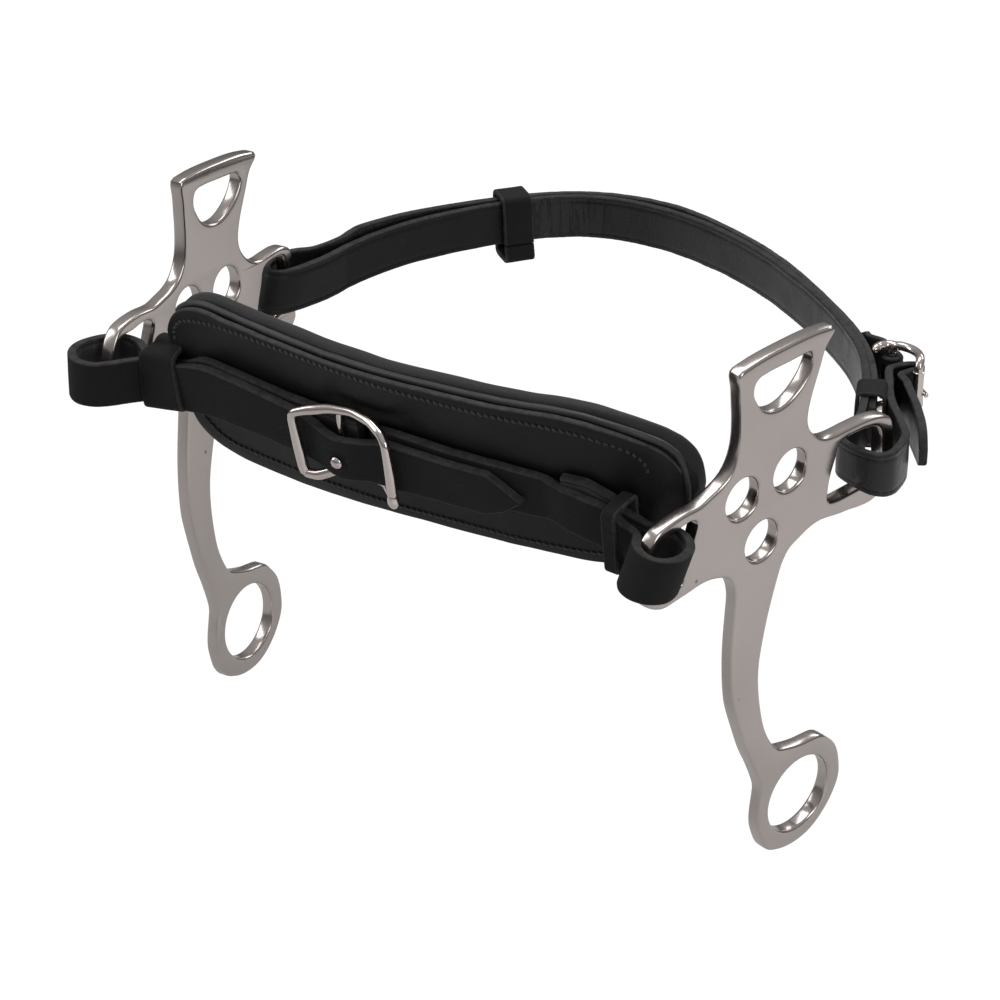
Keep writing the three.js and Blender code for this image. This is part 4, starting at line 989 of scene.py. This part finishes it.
fr = []
for cx, cz, a0 in ((13.0, 8.6, 0), (2.0, 8.6, 90), (2.0, -8.6, 180), (13.0, -8.6, 270)):
    for q in range(6):
        a = math.radians(a0 + q * 18)
        fr.append((cx + 2.0 * math.cos(a), cz + 2.0 * math.sin(a)))
Lr = []
for i in range(len(fr)):
    a, b = np.array(fr[i]), np.array(fr[(i + 1) % len(fr)])
    n = max(1, int(np.linalg.norm(b - a) / 0.9))
    for q in range(n):
        t, z = a + (b - a) * q / n
        Lr.append(heel3(t, bow(t), z))
keep(tube("curb_buckle_frame_wire", np.array(Lr), 1.4, [M_WIRE], closed=True, seg=18), "curb", "steel", "curb_buckle_frame")
for side, zz in (("upper", 10.2), ("lower", -10.2)):
    hook = catmull([heel3(1.6, bow(1.6), zz), cb(85.4, 102.0, zz), cb(84.0, 100.2, zz), cb(83.7, 97.4, zz), cb(84.0, 95.6, zz)], 24)
    keep(tube("curb_buckle_rail_" + side, hook, np.concatenate([np.full(20, 1.45), [1.4, 1.3, 1.1, 0.8, 0.4]]), [M_WIRE], seg=16), "curb", "steel")
keep(tube("curb_buckle_roller", np.array([heel3(15.0, 0, z) for z in np.linspace(-7.4, 7.4, 24)]), 1.7, [M_WIRE], seg=24), "curb", "steel")
pr = [heel3(2.25 * math.cos(math.radians(a)), 2.25 * math.sin(math.radians(a)), 0) for a in range(-200, 61, 20)]
pr += [heel3(t, o, 0) for t, o in ((3.2, 2.3), (6, 2.3), (10, 2.3), (14, 2.4), (16.4, 2.1), (17.3, 1.8))]
PR = catmull(pr, 60)
keep(tube("curb_buckle_prong_wire", PR, np.concatenate([np.full(45, 1.05), np.linspace(1.05, 0.7, 16)]), [M_WIRE], seg=14), "curb", "steel", "curb_buckle_prong")

# loose fibres on the strap's raw edges
fv, ff = [], []
for i in range(46):
    k = int(random.triangular(k_cut + 25, k_end - 40, k_cut + 90))
    layer = random.choice([OUTER, INNER])
    top_ = random.random() < 0.82
    z = (OUT_HI[k] - (0 if layer is OUTER else 1.2)) if top_ else IN_LO[k]
    p = cb(layer[k][0], layer[k][1], z * 0.99)
    d = unit(np.array([random.uniform(-1, 1), random.uniform(-0.8, 0.3), (1.1 if z > 0 else -1.1) * random.uniform(0.2, 1)]))
    ln = random.uniform(0.5, 1.9)
    cur = unit(np.array([random.uniform(-1, 1), random.uniform(-1, 1), random.uniform(-1, 1)])) * ln * 0.5
    b0 = len(fv)
    for j in range(5):
        u = j / 4
        c = p + d * ln * u + cur * u * u
        r = 0.09 * (1 - 0.8 * u)
        for q in range(4):
            t = q * math.pi / 2
            fv.append(c + r * np.array([math.cos(t), math.sin(t), 0.3 * math.cos(t)]))
    for j in range(4):
        for q in range(4):
            l = (q + 1) % 4
            ff.append((b0 + j * 4 + q, b0 + j * 4 + l, b0 + j * 4 + 4 + l, b0 + j * 4 + 4 + q))
    ff.append(tuple(b0 + q for q in range(4)))
    ff.append(tuple(b0 + 16 + q for q in reversed(range(4))))
keep(new_mesh("curb_strap_fibres", np.array(fv), ff, [M_EDGE], None, 80), "curb", "leather")

# ------------------------------------------------------------------- stage
cam_d = bpy.data.cameras.new("camera")
cam_d.lens = 126.79
cam_d.sensor_width = 36
cam_d.clip_start = 0.01
cam_d.clip_end = 50
cam = bpy.data.objects.new("camera", cam_d)
bpy.context.scene.collection.objects.link(cam)
R = np.array([0.78249, 0.62262, 0.00731])
Uv = np.array([-0.27960, 0.34086, 0.89757])
F = np.array([-0.55636, 0.70439, -0.44080])
pos = W((608.995, -754.022, 446.344))
cam.matrix_world = Matrix(((R[0], Uv[0], -F[0], pos[0]), (R[1], Uv[1], -F[1], pos[1]), (R[2], Uv[2], -F[2], pos[2]), (0, 0, 0, 1)))
bpy.context.scene.camera = cam

floor_z = BOX0[0][2] - 0.045  # low enough for the rings when the plates swing
me = bpy.data.meshes.new("floor")
me.from_pydata([(-3, -3, floor_z), (3, -3, floor_z), (3, 3, floor_z), (-3, 3, floor_z)], [], [(0, 1, 2, 3)])
floor = bpy.data.objects.new("floor", me)
bpy.context.scene.collection.objects.link(floor)
# the camera sees the floor as plain white; for reflections and bounce its colour is grey and darker towards -x, a
# painted shade for the floor in shade as the plates reflect it
mf, nt, bs = mat("floor_pale")
bs.inputs["Base Color"].default_value = (0.74, 0.74, 0.745, 1)
bs.inputs["Roughness"].default_value = 0.9
fc_ = nt.nodes.new("ShaderNodeTexCoord").outputs["Object"]
fx = nt.nodes.new("ShaderNodeSeparateXYZ")
nt.links.new(fc_, fx.inputs[0])
fr_ = nt.nodes.new("ShaderNodeMapRange")
fr_.inputs["From Min"].default_value = 0.0
fr_.inputs["From Max"].default_value = 0.34
fr_.inputs["To Min"].default_value = 0.0
fr_.inputs["To Max"].default_value = 1.0
nt.links.new(fx.outputs[0], fr_.inputs["Value"])
nt.links.new(mix(nt, fr_.outputs[0], grey(0.56), grey(0.8)), bs.inputs["Base Color"])
em = nt.nodes.new("ShaderNodeEmission")
em.inputs[0].default_value = (1, 1, 1, 1)
em.inputs[1].default_value = 1.05
lp = nt.nodes.new("ShaderNodeLightPath")
ms = nt.nodes.new("ShaderNodeMixShader")
nt.links.new(lp.outputs["Is Camera Ray"], ms.inputs[0])
nt.links.new(bs.outputs[0], ms.inputs[1])
nt.links.new(em.outputs[0], ms.inputs[2])
nt.links.new(ms.outputs[0], [n for n in nt.nodes if n.bl_idname == "ShaderNodeOutputMaterial"][0].inputs[0])
me.materials.append(mf)

world = bpy.data.worlds.new("studio")
bpy.context.scene.world = world
world.use_nodes = True
nt = world.node_tree
nt.nodes.clear()
wo = nt.nodes.new("ShaderNodeOutputWorld")
bg = nt.nodes.new("ShaderNodeBackground")
tc = nt.nodes.new("ShaderNodeTexCoord")
sep = nt.nodes.new("ShaderNodeSeparateXYZ")
nt.links.new(tc.outputs["Generated"], sep.inputs[0])
sky = ramp(nt, sep.outputs[2], [(0.0, grey(0.30)), (0.25, grey(0.5)), (0.6, grey(0.85)), (1.0, grey(1.0))])
nt.links.new(sky, bg.inputs[0])
bg.inputs[1].default_value = 0.42
bg2 = nt.nodes.new("ShaderNodeBackground")
bg2.inputs[0].default_value = (1, 1, 1, 1)
bg2.inputs[1].default_value = 1.05
lp = nt.nodes.new("ShaderNodeLightPath")
ms = nt.nodes.new("ShaderNodeMixShader")
nt.links.new(lp.outputs["Is Camera Ray"], ms.inputs[0])
nt.links.new(bg.outputs[0], ms.inputs[1])
nt.links.new(bg2.outputs[0], ms.inputs[2])
nt.links.new(ms.outputs[0], wo.inputs[0])


def area(name, at_, target, size, power):
    d = bpy.data.lights.new(name, "AREA")
    d.shape = "RECTANGLE"
    d.size, d.size_y = size
    d.energy = power
    o = bpy.data.objects.new(name, d)
    bpy.context.scene.collection.objects.link(o)
    o.location = at_
    o.rotation_euler = (Vector(target) - Vector(at_)).to_track_quat("-Z", "Y").to_euler()
    return o


lights = [
    area("softbox_top", (-0.15, 0.1, 0.95), (0, 0, 0), (0.8, 0.5), 3.6),
    area("softbox_left", (-0.85, -0.55, 0.55), (0, 0, 0), (0.35, 0.7), 2.2),
    area("softbox_right", (0.95, -0.35, 0.5), (0, 0, 0), (0.3, 0.7), 1.8),
    area("softbox_back", (0.1, 0.95, 0.6), (0, 0, 0), (0.8, 0.3), 2.0),
]

vs = bpy.context.scene.view_settings
vs.view_transform = "Standard"
vs.look = "None"
vs.exposure = 0.0
vs.gamma = 1.0

bpy.context.view_layer.update()
